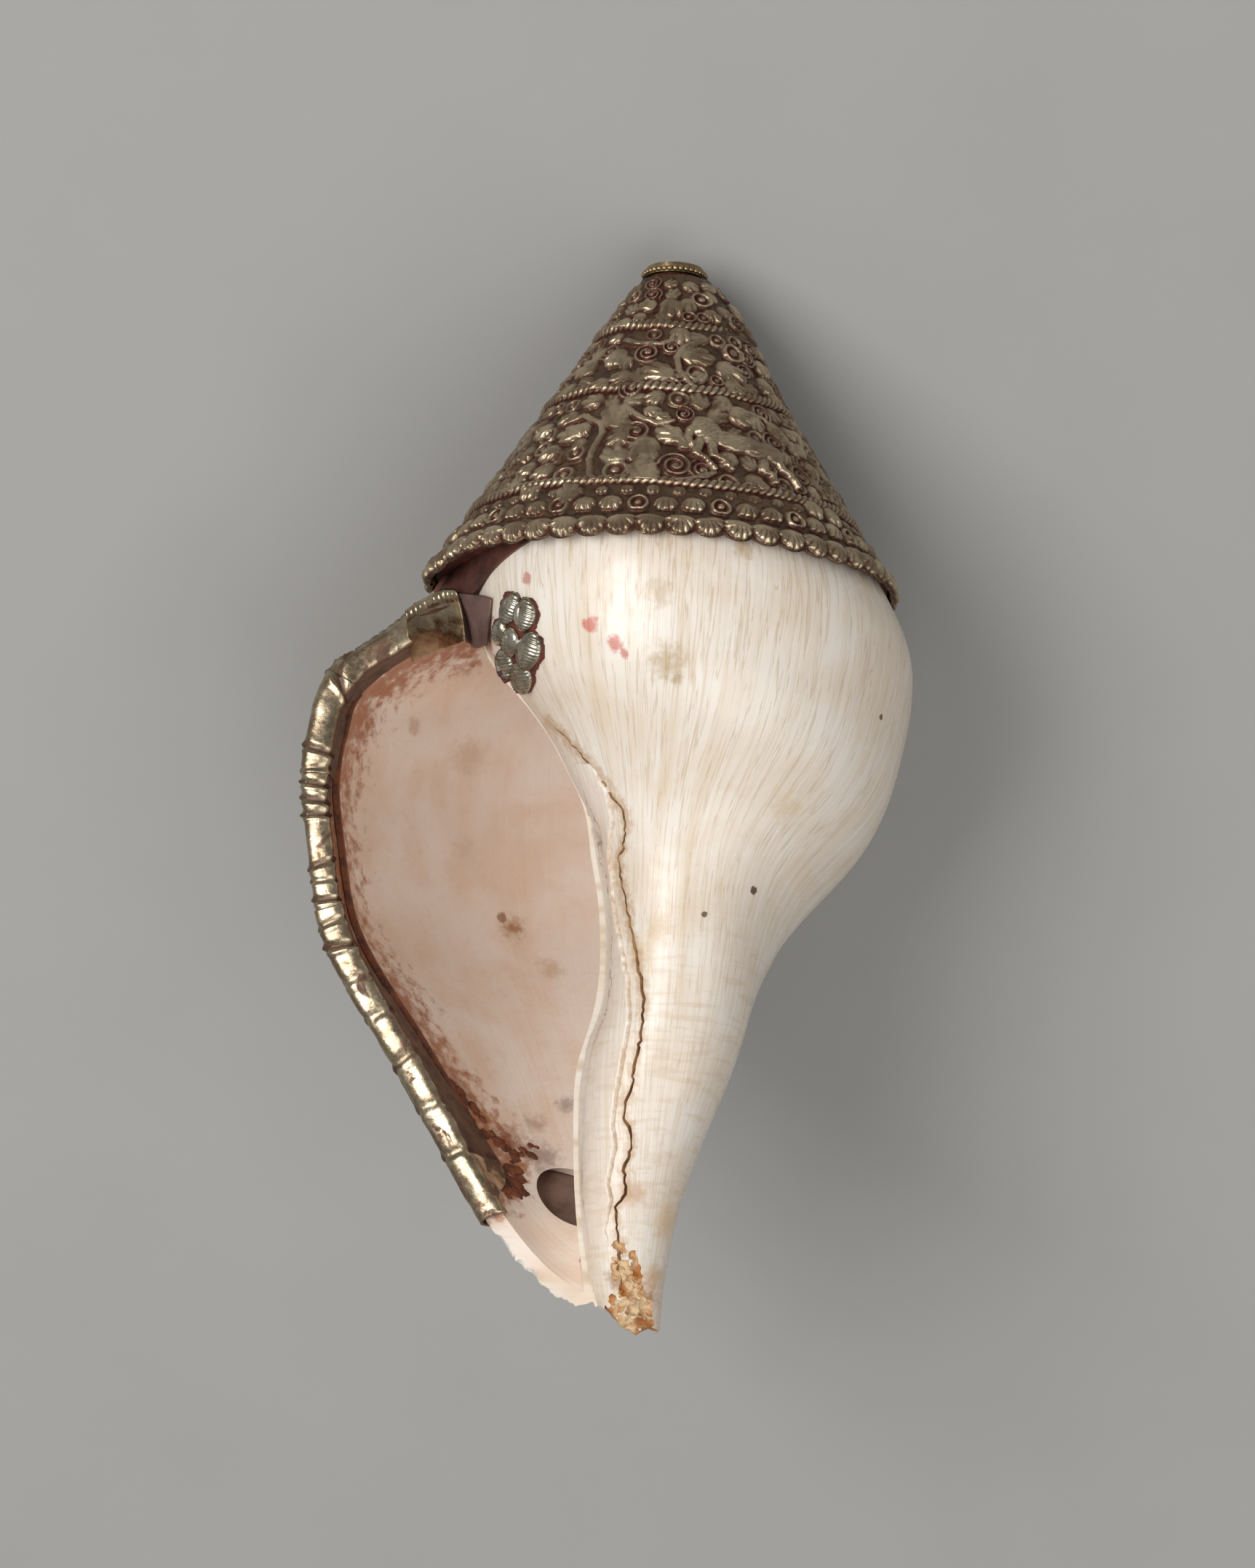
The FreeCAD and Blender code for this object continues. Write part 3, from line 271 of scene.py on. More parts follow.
def embossed_brass():
    """Old brass sheet, once silvered: rubbed silver-gold on its heights, red-brown where it is deep."""
    material, tree, shader, here = begin("embossed_brass")
    # Tarnish clouds are 6 mm wide and worn flecks 1.9 mm. Polishing scratches are drawn 0.7 mm wide,
    # because the real ones are too fine to show.
    cloud = add(tree, "TexNoise", {"Vector": here, "Scale": per(6.0), "Detail": 4.0, "Roughness": 0.6})
    fleck = add(tree, "TexNoise", {"Vector": here, "Scale": per(1.9), "Detail": 5.0, "Roughness": 0.7})
    grain = add(tree, "TexNoise", {"Vector": here, "Scale": per(0.7), "Detail": 3.0})
    lift = add(tree, "Attribute", {}, "Fac", attribute_name="lift")
    crevice = add(tree, "AmbientOcclusion", {"Distance": 1.4 * MM}, "AO", samples=8)
    ragged = add(tree, "Math", {0: fleck, 1: 0.5, 2: lift}, operation="MULTIPLY_ADD")
    crest = add(tree, "MapRange", {0: ragged, 1: 0.3, 2: 1.25}, **SMOOTH)
    sheltered = add(tree, "Math", {0: fleck, 1: -0.55, 2: crevice}, operation="MULTIPLY_ADD")
    deep = add(tree, "MapRange", {0: sheltered, 1: 0.6, 2: 0.22}, **SMOOTH)
    ground, rubbed = (add(tree, "Mix", {0: add(tree, "MapRange", {0: cloud, 1: low, 2: high}, **SMOOTH),
        6: colour(one), 7: colour(other)}, 2, **COLOURS) for low, high, one,
        other in ((0.35, 0.65, "#5d493c", "#7b6650"), (0.38, 0.62, "#c6b496", "#97836a")))
    tone = add(tree, "Mix", {0: crest, 6: ground, 7: rubbed}, 2, **COLOURS)
    dark = add(tree, "MapRange", {0: fleck, 1: 0.56, 2: 0.8, 3: 0.0, 4: 0.5}, **SMOOTH)
    tone = add(tree, "Mix", {0: dark, 6: tone, 7: colour("#41332a")}, 2, **COLOURS)
    base = add(tree, "Mix", {0: deep, 6: tone, 7: colour("#55251d")}, 2, **COLOURS)
    polish = add(tree, "MapRange", {0: grain, 1: 0.3, 2: 0.8, 3: 0.27, 4: 0.44}, **SMOOTH)
    rough = add(tree, "Math", {0: deep, 1: 0.3, 2: polish}, operation="MULTIPLY_ADD")
    metal = add(tree, "Math", {0: deep, 1: -0.7, 2: 0.95}, operation="MULTIPLY_ADD")
    height = add(tree, "Math", {0: cloud, 1: 1.2, 2: grain}, operation="MULTIPLY_ADD")
    feed(tree, shader, {"Base Color": base, "Roughness": rough, "Metallic": metal,
        "Normal": add(tree, "Bump", {"Height": height, "Strength": 0.3, "Distance": 0.3 * MM})})
    return material


def folded_brass():
    """Rolled brass strip, silvered and rubbed, tarnished brown in its creases and browned inside its fold,
    partly tarnish and partly painted shade.
    """
    material, tree, shader, here = begin("folded_brass")
    # Tarnish clouds are 4 mm wide and stained patches 7 mm. Scratches are drawn 0.7 mm wide, because the
    # real ones are too fine to show.
    cloud = add(tree, "TexNoise", {"Vector": here, "Scale": per(4.0), "Detail": 5.0, "Roughness": 0.62})
    grain = add(tree, "TexNoise", {"Vector": here, "Scale": per(0.7), "Detail": 3.0})
    blotch = add(tree, "TexNoise", {"Vector": here, "Scale": per(7.0), "Detail": 5.0, "Roughness": 0.6,
        "Distortion": 0.6})
    fold = add(tree, "Attribute", {}, "Fac", attribute_name="fold")
    crimp = add(tree, "Attribute", {}, "Fac", attribute_name="crimp")
    stain = add(tree, "Attribute", {}, "Fac", attribute_name="stain")
    # Past the middle of the fold and on the inner flange the strip is browned: partly tarnish, partly painted
    # shade on the flange that faces into the mouth.
    edge = add(tree, "Math", {0: cloud, 1: 0.5, 2: fold}, operation="MULTIPLY_ADD")
    inside = add(tree, "MapRange", {0: edge, 1: 1.02, 2: 1.18}, **SMOOTH)
    patch = add(tree, "Math", {0: stain, 1: 0.16, 2: blotch}, operation="MULTIPLY_ADD")
    browning = add(tree, "Math",
        {0: inside, 1: add(tree, "MapRange", {0: patch, 1: 0.60, 2: 0.67, 3: 0.0, 4: 0.9}, **SMOOTH)},
        operation="MAXIMUM")
    browning = add(tree, "Math",
        {0: browning, 1: add(tree, "MapRange", {0: crimp, 1: 0.15, 2: 0.6, 3: 0.0, 4: 0.85}, **SMOOTH)},
        operation="MAXIMUM")
    tone, brown = (add(tree, "Mix", {0: add(tree, "MapRange", {0: cloud, 1: low, 2: high}, **SMOOTH),
        6: colour(one), 7: colour(other)}, 2, **COLOURS) for low, high, one,
        other in ((0.38, 0.62, "#bcab8f", "#928069"), (0.4, 0.6, "#4a2c20", "#6a4a38")))
    base = add(tree, "Mix", {0: browning, 6: tone, 7: brown}, 2, **COLOURS)
    rough = add(tree, "Math",
        {0: browning, 1: 0.28, 2: add(tree, "MapRange", {0: grain, 1: 0.3, 2: 0.8, 3: 0.22, 4: 0.36},
        **SMOOTH)}, operation="MULTIPLY_ADD")
    metal = add(tree, "Math", {0: browning, 1: -0.6, 2: 1.0}, operation="MULTIPLY_ADD")
    height = add(tree, "Math", {0: cloud, 1: 1.2, 2: grain}, operation="MULTIPLY_ADD")
    feed(tree, shader, {"Base Color": base, "Roughness": rough, "Metallic": metal,
        "Normal": add(tree, "Bump", {"Height": height, "Strength": 0.16, "Distance": 0.3 * MM})})
    return material


def plain_brass(name, bright, dull, grime):
    """Cast or cut brass of the mouth and the rosette, with tarnish between its raised places."""
    material, tree, shader, here = begin(name)
    # Tarnish clouds are 3 mm wide, and file marks 0.6 mm, coarser than the real ones, which don't show.
    cloud = add(tree, "TexNoise", {"Vector": here, "Scale": per(3.0), "Detail": 5.0, "Roughness": 0.6})
    grain = add(tree, "TexNoise", {"Vector": here, "Scale": per(0.6), "Detail": 3.0})
    hollow = add(tree, "AmbientOcclusion", {"Distance": 1.2 * MM}, "AO")
    tone = add(tree, "Mix", {0: add(tree, "MapRange", {0: cloud, 1: 0.36, 2: 0.64}, **SMOOTH),
        6: colour(bright), 7: colour(dull)}, 2, data_type="RGBA")
    browning = add(tree, "MapRange", {0: hollow, 1: 0.85, 2: 0.35}, **SMOOTH)
    base = add(tree, "Mix", {0: browning, 6: tone, 7: colour(grime)}, 2, **COLOURS)
    rough = add(tree, "Math", {0: browning, 1: 0.3, 2: add(tree, "MapRange", {0: grain, 1: 0.3, 2: 0.8, 3: 0.2,
        4: 0.36}, **SMOOTH)}, operation="MULTIPLY_ADD")
    feed(tree, shader, {"Base Color": base, "Roughness": rough, "Metallic": 0.92,
        "Normal": add(tree, "Bump", {"Height": cloud, "Strength": 0.25, "Distance": 0.3 * MM})})
    return material


def patinated_copper(name, base, dark, rubbed):
    """Thin copper sheet, purple-brown with age and dull, a little brighter where hands rubbed it."""
    material, tree, shader, here = begin(name)
    # Age has clouded it 6 mm wide, rubbing shows in patches 11 mm wide, and its skin has 2 mm dents.
    cloud = add(tree, "TexNoise", {"Vector": here, "Scale": per(6.0), "Detail": 5.0, "Roughness": 0.6})
    worn = add(tree, "TexNoise", {"Vector": here, "Scale": per(11.0), "Detail": 4.0, "Distortion": 0.5})
    grain = add(tree, "TexNoise", {"Vector": here, "Scale": per(2.0), "Detail": 4.0, "Roughness": 0.6})
    share = add(tree, "MapRange", {0: worn, 1: 0.56, 2: 0.75, 3: 0.0, 4: 0.6}, **SMOOTH)
    tone = add(tree, "Mix", {0: add(tree, "MapRange", {0: cloud, 1: 0.35, 2: 0.7}, **SMOOTH),
        6: colour(base), 7: colour(dark)}, 2, data_type="RGBA")
    tone = add(tree, "Mix", {0: share, 6: tone, 7: colour(rubbed)}, 2, **COLOURS)
    metal = add(tree, "Math", {0: share, 1: 0.4, 2: 0.35}, operation="MULTIPLY_ADD")
    feed(tree, shader, {"Base Color": tone, "Roughness": add(tree, "MapRange", {0: grain, 1: 0.3, 2: 0.7,
        3: 0.4, 4: 0.58}, **SMOOTH), "Metallic": metal, "Normal": add(tree, "Bump",
        {"Height": grain, "Strength": 0.35, "Distance": 0.3 * MM})})
    return material


def stick_lac(name, base, dark, dust):
    """Hand-pressed lac: dark red-brown, matt and crumbly, with paler dust on its lumps."""
    material, tree, shader, here = begin(name)
    # Its colour changes over 2.5 mm, and its crumbs are 1.1 mm wide.
    cloud = add(tree, "TexNoise", {"Vector": here, "Scale": per(2.5), "Detail": 5.0, "Roughness": 0.65})
    crumb = add(tree, "TexNoise", {"Vector": here, "Scale": per(1.1), "Detail": 5.0, "Roughness": 0.7})
    tone = add(tree, "Mix", {0: add(tree, "MapRange", {0: cloud, 1: 0.35, 2: 0.68}, **SMOOTH),
        6: colour(base), 7: colour(dark)}, 2, **COLOURS)
    tone = add(tree, "Mix", {0: add(tree, "MapRange", {0: crumb, 1: 0.6, 2: 0.75, 3: 0.0, 4: 0.5},
        **SMOOTH), 6: tone, 7: colour(dust)}, 2, **COLOURS)
    feed(tree, shader, {"Base Color": tone, "Roughness": 0.7, "Normal": add(tree, "Bump",
        {"Height": crumb, "Strength": 0.7, "Distance": 0.6 * MM})})
    return material


# The embossed cover: one relief per band, laid on the CAD cover's own surface.
ROPE_DROPS = (22.6, 36.0, 55.5)
COVER_TOP = 11.3
COVER_END = 66.0
COVER_STEP = 3.0
DROP_STEP = 0.5
BARE_SHARE = 12
PETAL_COUNT, PETAL_START = 50, 188.0
# The top leans out at its right, and the skirt droops at its left: by how much, where, how widely.
LEAN, LEAN_ANGLE, LEAN_SPREAD, LEAN_DROP, LEAN_REACH = 1.6, 205.0, 55.0, 20.0, 9.0
DROOP, DROOP_ANGLE, DROOP_SPREAD = 2.0, 352.0, 12.0
# Below its last sampled drop the cover still spreads by this share of the drop.
SKIRT_SPREAD = 0.55
TOLERATED_RADIUS = 50.0
SLOPE_STRETCH = 1.13


def cover_base():
    """The cover's radius under its embossing, on a coarse grid of angles and drops."""
    angles = np.arange(0.0, 360.0, COVER_STEP)
    drops = np.arange(COVER_TOP, COVER_END - 0.2, DROP_STEP)
    radii = np.zeros((len(drops), len(angles)))
    for row, drop in enumerate(drops):
        met = [met_radius(cover_tree, angle, drop, RAY_START) for angle in angles]
        known = [radius for radius in met if radius is not None and radius < TOLERATED_RADIUS]
        radii[row] = np.percentile(known, BARE_SHARE) if known else radii[row - 1]
    return drops, radii


base_drops, base_radii = cover_base()


def cover_radius(angles, drops):
    """The cover's smooth radius at arrays of angles and drops."""
    down = np.clip((drops - base_drops[0]) / DROP_STEP, 0.0, len(base_drops) - 1.001)
    row = down.astype(int)
    share = down - row
    turn = (angles % 360.0) / COVER_STEP
    column = turn.astype(int) % base_radii.shape[1]
    after = (column + 1) % base_radii.shape[1]
    part = turn - turn.astype(int)
    upper = base_radii[row, column] * (1 - part) + base_radii[row, after] * part
    lower = base_radii[row + 1, column] * (1 - part) + base_radii[row + 1, after] * part
    beyond = np.clip(drops - base_drops[-1], 0.0, None) * SKIRT_SPREAD
    return upper * (1 - share) + lower * share + beyond


def radius_at(angle, drop):
    """The cover's smooth radius at one place."""
    return float(cover_radius(np.array([angle]), np.array([drop]))[0])


def turned_to(right, down, way):
    """Distances along a direction of the picture, given in degrees, and across it."""
    turned = math.radians(way)
    along = right * math.cos(turned) + down * math.sin(turned)
    return along, down * math.cos(turned) - right * math.sin(turned)


class Relief:
    """A height map in millimetres over part of the cover."""

    def __init__(self, top, end, columns, rows):
        self.angles = np.arange(columns) * 360.0 / columns
        self.shares = np.linspace(0.0, 1.0, rows)
        self.top, self.end = top, end
        self.turn, self.share = np.meshgrid(self.angles, self.shares)
        self.drops = top + (end - top) * self.share
        self.height = np.zeros_like(self.turn)

    def near(self, angle, drop, reach):
        """Slices and local millimetres (to the viewer's right, and down) round a place."""
        radius = radius_at(angle, drop)
        turn = (self.turn - angle + 180.0) % 360.0 - 180.0
        right = -np.radians(turn) * radius
        down = (self.drops - drop) * SLOPE_STRETCH
        close = (np.abs(right) < reach) & (np.abs(down) < reach)
        return close, right[close], down[close]

    def raise_to(self, close, height):
        self.height[close] = np.maximum(self.height[close], height)

    def fan(self, angle, drop, size, way, tall=1.0, flutes=7, wide=0.85):
        """A domed petal with flutes that spread from the side that way points to."""
        close, right, down = self.near(angle, drop, size * max(1.0, wide) * 1.1)
        along, across = turned_to(right, down, way)
        far = (along / size) ** 2 + (across / (size * wide)) ** 2
        dome = np.sqrt(np.clip(1.0 - far, 0.0, 1.0))
        spread = np.arctan2(across, along + size * 1.1)
        cut = (0.5 - 0.5 * np.cos(spread * flutes * 2.2)) ** 2
        fade = np.clip((along + size * 0.55) / size * 1.5, 0.0, 1.0)
        self.raise_to(close, tall * (dome ** 0.85 - 0.34 * cut * fade * (dome > 0.25)))

    def ring(self, angle, drop, size, tall=0.8):
        """A boss inside a raised ring."""
        close, right, down = self.near(angle, drop, size * 1.2)
        far = np.hypot(right, down) / size
        band = np.exp(-((far - 0.78) / 0.20) ** 2)
        boss = np.sqrt(np.clip(1.0 - (far / 0.42) ** 2, 0.0, 1.0))
        self.raise_to(close, tall * np.maximum(band, 0.9 * boss))

    def spiral(self, angle, drop, size, way, hand=1.0, tall=0.9):
        """A scroll that winds in towards its middle."""
        close, right, down = self.near(angle, drop, size * 1.25)
        far = np.hypot(right, down) / size
        spin = (hand * np.arctan2(down, right) - math.radians(way)) % (2 * np.pi)
        height = np.zeros_like(far)
        for lap in range(2):
            wound = (spin + lap * 2 * np.pi) / (4 * np.pi)
            line = 1.0 - 0.82 * wound
            height = np.maximum(height, np.exp(-((far - line) / 0.13) ** 2))
        boss = np.sqrt(np.clip(1.0 - (far / 0.26) ** 2, 0.0, 1.0))
        self.raise_to(close, tall * np.maximum(height, boss))

    def stem(self, points, width, tall=0.8, taper=0.4):
        """A raised line through places given as angle and drop."""
        count = len(points)
        for index in range(count - 1):
            (angle, drop), (next_angle, next_drop) = points[index], points[index + 1]
            radius = radius_at(angle, drop)
            turn = (next_angle - angle + 180.0) % 360.0 - 180.0
            step = np.array([-math.radians(turn) * radius, (next_drop - drop) * SLOPE_STRETCH])
            length = float(np.hypot(*step)) + 1e-6
            close, right, down = self.near(angle, drop, length + width * 1.5)
            share = np.clip((right * step[0] + down * step[1]) / length ** 2, 0.0, 1.0)
            away = np.hypot(right - share * step[0], down - share * step[1])
            place_on = (index + share) / (count - 1)
            wide = width * (1.0 - taper * place_on)
            self.raise_to(close, tall * np.sqrt(np.clip(1.0 - (away / wide) ** 2, 0.0, 1.0)))

    def mound(self, angle, drop, long, wide, way, tall):
        """A plain smooth swelling."""
        close, right, down = self.near(angle, drop, long * 1.1)
        along, across = turned_to(right, down, way)
        far = (along / long) ** 2 + (across / wide) ** 2
        self.raise_to(close, tall * np.clip(1.0 - far, 0.0, 1.0) ** 0.6)

    def taken(self, angle, drop):
        """How high the relief already stands at a place."""
        row = int(np.argmin(np.abs(self.top + (self.end - self.top) * self.shares - drop)))
        column = int(round((angle % 360.0) / 360.0 * len(self.angles))) % len(self.angles)
        return self.height[row, column]

    def fill(self, seed, pitch, size, first, last):
        """Fills what is still bare with petals, rings and scrolls in jittered rows."""
        chance = random.Random(seed)
        rows = max(1, int(round((last - first) * SLOPE_STRETCH / (pitch * 0.9))))
        for row in range(rows):
            drop = first + (last - first) * (row + 0.5) / rows
            radius = radius_at(0.0, drop)
            count = int(2 * math.pi * radius / pitch)
            for index in range(count):
                angle = (index + 0.5 * (row % 2)) * 360.0 / count + chance.uniform(-3, 3) * 8 / radius
                here = drop + chance.uniform(-0.35, 0.35)
                kind, spin = chance.random(), chance.uniform(0, 360)
                scale = size * chance.uniform(0.8, 1.12)
                if self.taken(angle, here) > 0.12:
                    continue
                if kind < 0.6:
                    self.fan(angle, here, scale, spin, chance.uniform(0.8, 1.15))
                elif kind < 0.8:
                    self.spiral(angle, here, scale, spin, chance.choice((-1.0, 1.0)))
                else:
                    self.ring(angle, here, scale * 0.85)

    def piece(self, name, node, hammer, ends=None, turn_in=0.7):
        """Lays the relief out as a ring of sheet, with its top and bottom edges turned in."""
        drops = self.drops
        if ends is not None:
            drops = self.top + (self.end + ends[None, :] * self.share - self.top) * self.share
        turned = np.radians(self.turn)
        ground = np.zeros_like(turned)
        for waves, slope, share in ((7, 1.3, 0.35), (17, -0.8, 0.3), (29, 2.3, 0.25), (41, -3.1, 0.2),
                (5, 4.7, 0.2)):
            ground += hammer * share * np.sin(waves * turned + slope * drops)
        lean = np.exp(-(((self.turn - LEAN_ANGLE) / LEAN_SPREAD) ** 2))
        lean *= np.exp(-(((drops - LEAN_DROP) / LEAN_REACH) ** 2))
        smooth = cover_radius(self.turn, drops) + LEAN * lean
        outer = places(self.turn, drops, smooth + self.height + ground - 0.05)
        upper = places(self.turn[:1], drops[:1], smooth[:1] - turn_in)
        lower = places(self.turn[-1:], drops[-1:], smooth[-1:] - turn_in)
        every = np.concatenate([upper, outer, lower])
        levels = np.concatenate([self.height[:1], self.height, self.height[-1:] * 0.0])
        every = np.concatenate([every, every[:, :1]], axis=1)
        levels = np.concatenate([levels, levels[:, :1]], axis=1)
        piece = sheet_piece(name, every)
        store(piece, "lift", np.clip(levels, 0.0, 1.2))
        weld(piece)
        dress(piece, cover_brass, "cover_metal", node)
        return piece


# The motifs are placed in an enlarged picture of the cover: its left and top edges, and its scale.
CLOSE_LEFT, CLOSE_TOP, CLOSE_UP = 380.0, 360.0, 1.742
CLOSE_MM = MM_PER_PIXEL / CLOSE_UP
# Petals, and rings and scrolls, are made larger than they were marked by these shares.
FAN_GROWTH, RING_GROWTH = 1.38, 1.3


def cover_spot(across, down):
    """The angle and drop of the cover under a pixel of the cover's enlarged picture."""
    hit, _ = seen_point(cover_tree, CLOSE_LEFT + across / CLOSE_UP, CLOSE_TOP + down / CLOSE_UP)
    if hit is None:
        return None
    angle, drop, _ = whereabouts(hit)
    return angle, drop


# Motifs seen in the photograph: kind, place in its enlarged picture, size there and direction.
MOTIFS = (("fan", 945, 112, 26, 90), ("ring", 1010, 95, 20, 0), ("fan", 1075, 125, 22, 30),
    ("fan", 890, 106, 20, 200), ("fan", 832, 152, 20, 160), ("fan", 872, 138, 16, 90),
    ("ring", 985, 135, 15, 0), ("fan", 1035, 135, 18, 60), ("fan", 965, 180, 24, 90),
    ("spiral", 890, 220, 25, 40), ("fan", 1008, 228, 32, 0), ("ring", 1085, 222, 24, 0),
    ("fan", 912, 264, 32, 200), ("ring", 1005, 268, 22, 0), ("fan", 1085, 268, 32, 30),
    ("fan", 824, 280, 24, 160), ("spiral", 852, 306, 24, 90), ("spiral", 940, 300, 25, 200),
    ("fan", 1098, 308, 26, 60), ("fan", 815, 232, 26, 120), ("fan", 745, 258, 30, 180),
    ("fan", 770, 300, 24, 140), ("fan", 1150, 262, 24, 30), ("fan", 1165, 305, 24, 60),
    ("fan", 1190, 340, 22, 60), ("fan", 700, 315, 24, 150), ("spiral", 862, 408, 31, 60),
    ("fan", 940, 412, 28, 200), ("fan", 806, 460, 30, 220), ("fan", 880, 452, 36, 90),
    ("ring", 812, 500, 26, 0), ("fan", 878, 502, 36, 250), ("spiral", 955, 488, 31, 180),
    ("fan", 812, 366, 34, 250), ("fan", 706, 412, 30, 180), ("fan", 737, 404, 20, 90),
    ("ring", 715, 458, 20, 0), ("fan", 657, 462, 24, 140), ("fan", 640, 505, 26, 150),
    ("ring", 690, 512, 22, 0), ("fan", 612, 548, 26, 120), ("fan", 700, 552, 28, 250),
    ("fan", 640, 410, 24, 150), ("fan", 600, 500, 22, 150), ("fan", 565, 545, 22, 150),
    ("fan", 1150, 536, 28, 60), ("ring", 1080, 530, 22, 0), ("ring", 1215, 560, 20, 0),
    ("fan", 1282, 592, 24, 60), ("fan", 1110, 376, 26, 20), ("fan", 1192, 408, 24, 40),
    ("fan", 1235, 452, 22, 40), ("fan", 1276, 505, 22, 60), ("fan", 1325, 612, 24, 60),
    ("ring", 1310, 560, 18, 0), ("fan", 925, 372, 16, 10), ("spiral", 975, 366, 20, 250),)
STEMS = (((1008, 196), (975, 205), (958, 232), (965, 262), (985, 290), (1015, 316)),
    ((842, 190), (870, 196), (920, 198), (950, 190)), ((835, 345), (870, 372), (910, 386), (950, 382)),
    ((700, 385), (740, 370), (775, 385), (782, 410), (765, 440), (750, 475), (752, 512), (785, 540),
    (840, 547), (900, 536), (955, 524), (1005, 518), (1048, 506)), ((1065, 352), (1110, 352), (1160, 378),
    (1205, 420)),)


def animal(relief):
    """A standing deer-like beast of common temple ornament, seen from the side."""
    body = ((1030, 405, 42, 34, 70, 1.95), (1080, 430, 46, 28, 20, 1.8), (1135, 446, 46, 28, 20, 1.75),
        (1180, 462, 32, 28, 60, 1.85), (1208, 432, 20, 12, -50, 1.6), (1226, 414, 17, 10, 20, 1.6))
    for across, down, long, wide, way, tall in body:
        place_on = cover_spot(across, down)
        relief.mound(*place_on, long * CLOSE_MM * 1.25, wide * CLOSE_MM * 1.2, way, tall)
    limbs = (((1012, 430), (1002, 458), (1026, 472), (1048, 496)), ((1040, 436), (1046, 462), (1072, 476),
        (1088, 498)), ((1168, 478), (1160, 500), (1182, 512), (1190, 530)), ((1192, 480), (1206, 500),
        (1222, 514), (1240, 540)), ((1006, 392), (990, 404), (986, 424), (994, 440)))
    for limb in limbs:
        relief.stem([cover_spot(*point) for point in limb], 1.0, 1.6, 0.35)
    angle, drop = cover_spot(1030, 405)
    close, right, down = relief.near(angle, drop, 9.0)
    hair = np.cos((right * 0.6 + down * 1.4 + 0.5 * np.sin(right * 1.3)) * 4.5)
    relief.height[close] -= 0.16 * (hair > 0.2) * (relief.height[close] > 1.2)


# The bands from the top down, with how many columns and rows of points each one has.
GRIDS = (("collar", 520, 56), ("upper", 760, 66), ("middle", 960, 92), ("skirt", 1250, 60))
# What fills each band where it is bare: seed, pitch, size, and the drops of its first and last rows.
FILLINGS = (("collar", 3, 3.2, 1.75, 12.6, 21.8), ("upper", 5, 3.4, 1.95, 23.6, 35.2),
    ("middle", 8, 3.7, 2.15, 37.2, 54.6))
# The skirt's rows from its edge up: drop and size.
EDGE_ROW, SECOND_ROW, SMALL_ROW = (64.1, 2.0), (60.2, 1.75), (57.4, 1.0)
SKIRT_RING = 1.9
# How deep each band's hammer marks are, in millimetres.
HAMMER = {"collar": 0.18, "upper": 0.2, "middle": 0.22, "skirt": 0.2}


def make_cover():
    """The four bands of the cover, with the photograph's motifs and more of the same behind."""
    edges = (COVER_TOP, *ROPE_DROPS, COVER_END)
    bands = {}
    for (name, columns, rows), top, end in zip(GRIDS, edges, edges[1:]):
        bands[name] = Relief(top, end, columns, rows)
    for kind, across, down, size, way in MOTIFS:
        place_on = cover_spot(across, down)
        if place_on is None:
            continue
        for band in bands.values():
            if band.top < place_on[1] < band.end:
                if kind == "fan":
                    band.fan(*place_on, size * CLOSE_MM * FAN_GROWTH, way, 1.35)
                elif kind == "ring":
                    band.ring(*place_on, size * CLOSE_MM * RING_GROWTH, 1.0)
                else:
                    band.spiral(*place_on, size * CLOSE_MM * RING_GROWTH, way, 1.0, 1.1)
    for points in STEMS:
        line = [cover_spot(*point) for point in points]
        for band in bands.values():
            if band.top < line[len(line) // 2][1] < band.end:
                band.stem(line, 0.75, 1.0, 0.2)
    animal(bands["middle"])
    for name, *filling in FILLINGS:
        bands[name].fill(*filling)

    skirt = bands["skirt"]
    for index in range(PETAL_COUNT):
        angle = PETAL_START + index * 360.0 / PETAL_COUNT
        skirt.fan(angle, *EDGE_ROW, 90 + 12 * math.sin(index * 2.1), 1.5, 9, 1.32)
        between = angle + 180.0 / PETAL_COUNT
        if index % 3 == 1:
            skirt.ring(between, SECOND_ROW[0], SKIRT_RING, 1.1)
        else:
            skirt.fan(between, *SECOND_ROW, 90, 1.25, 7, 1.2)
        skirt.fan(angle, *SMALL_ROW, 90, 0.7, 5, 1.3)
    scallop = np.abs(np.cos(np.radians((skirt.angles - PETAL_START) * PETAL_COUNT / 2.0)))
    ends = 1.1 * scallop ** 0.6 - 0.5 + 0.25 * np.sin(np.radians(skirt.angles * 5.0))
    ends += DROOP * np.exp(-(((skirt.angles - DROOP_ANGLE) / DROOP_SPREAD) ** 2))

    for (name, band), node in zip(bands.items(), COVER_NODES):
        band.piece("cover_" + name + "_relief", node, HAMMER[name], ends if band is skirt else None)


cover_brass = embossed_brass()
make_cover()


ROPE_SIDES, ROPE_STEP, STRAND_VALLEY = 14, 0.2, 0.62


def make_rope(name, node, drop, radius, pitch):
    """A cord of two strands round the cover: a sheet rolled into a ring's tube and wrung."""
    columns = int(2 * math.pi * radius_at(0.0, drop) / ROPE_STEP)
    share = np.arange(columns + 1) % columns / columns
    angles = share * 360.0
    wander = drop + 0.25 * np.sin(np.radians(angles * 3.0)) + 0.12 * np.sin(np.radians(angles * 11.0))
    ring_radius = cover_radius(angles, wander) + 0.15
    turns = round(2 * math.pi * ring_radius.mean() / (pitch * 2.0))
    twist = share * turns * 2 * math.pi
    around = np.arange(ROPE_SIDES + 1) % ROPE_SIDES / ROPE_SIDES * 2 * math.pi
    lobes = STRAND_VALLEY + (1.0 - STRAND_VALLEY) * np.abs(np.cos(around[:, None] - twist[None, :]))
    out_by = radius * lobes * np.cos(around)[:, None] * 0.85
    down_by = radius * lobes * np.sin(around)[:, None]
    points = places(np.tile(angles, (ROPE_SIDES + 1, 1)), wander[None, :] + down_by, ring_radius[None, :]
        + out_by)
    piece = sheet_piece(name, points)
    store(piece, "lift", (lobes - STRAND_VALLEY) / (1.0 - STRAND_VALLEY) * np.clip(np.cos(around)[:, None]
        + 0.9, 0.0, 1.0))
    weld(piece)
    dress(piece, cover_brass, "cover_metal", node)


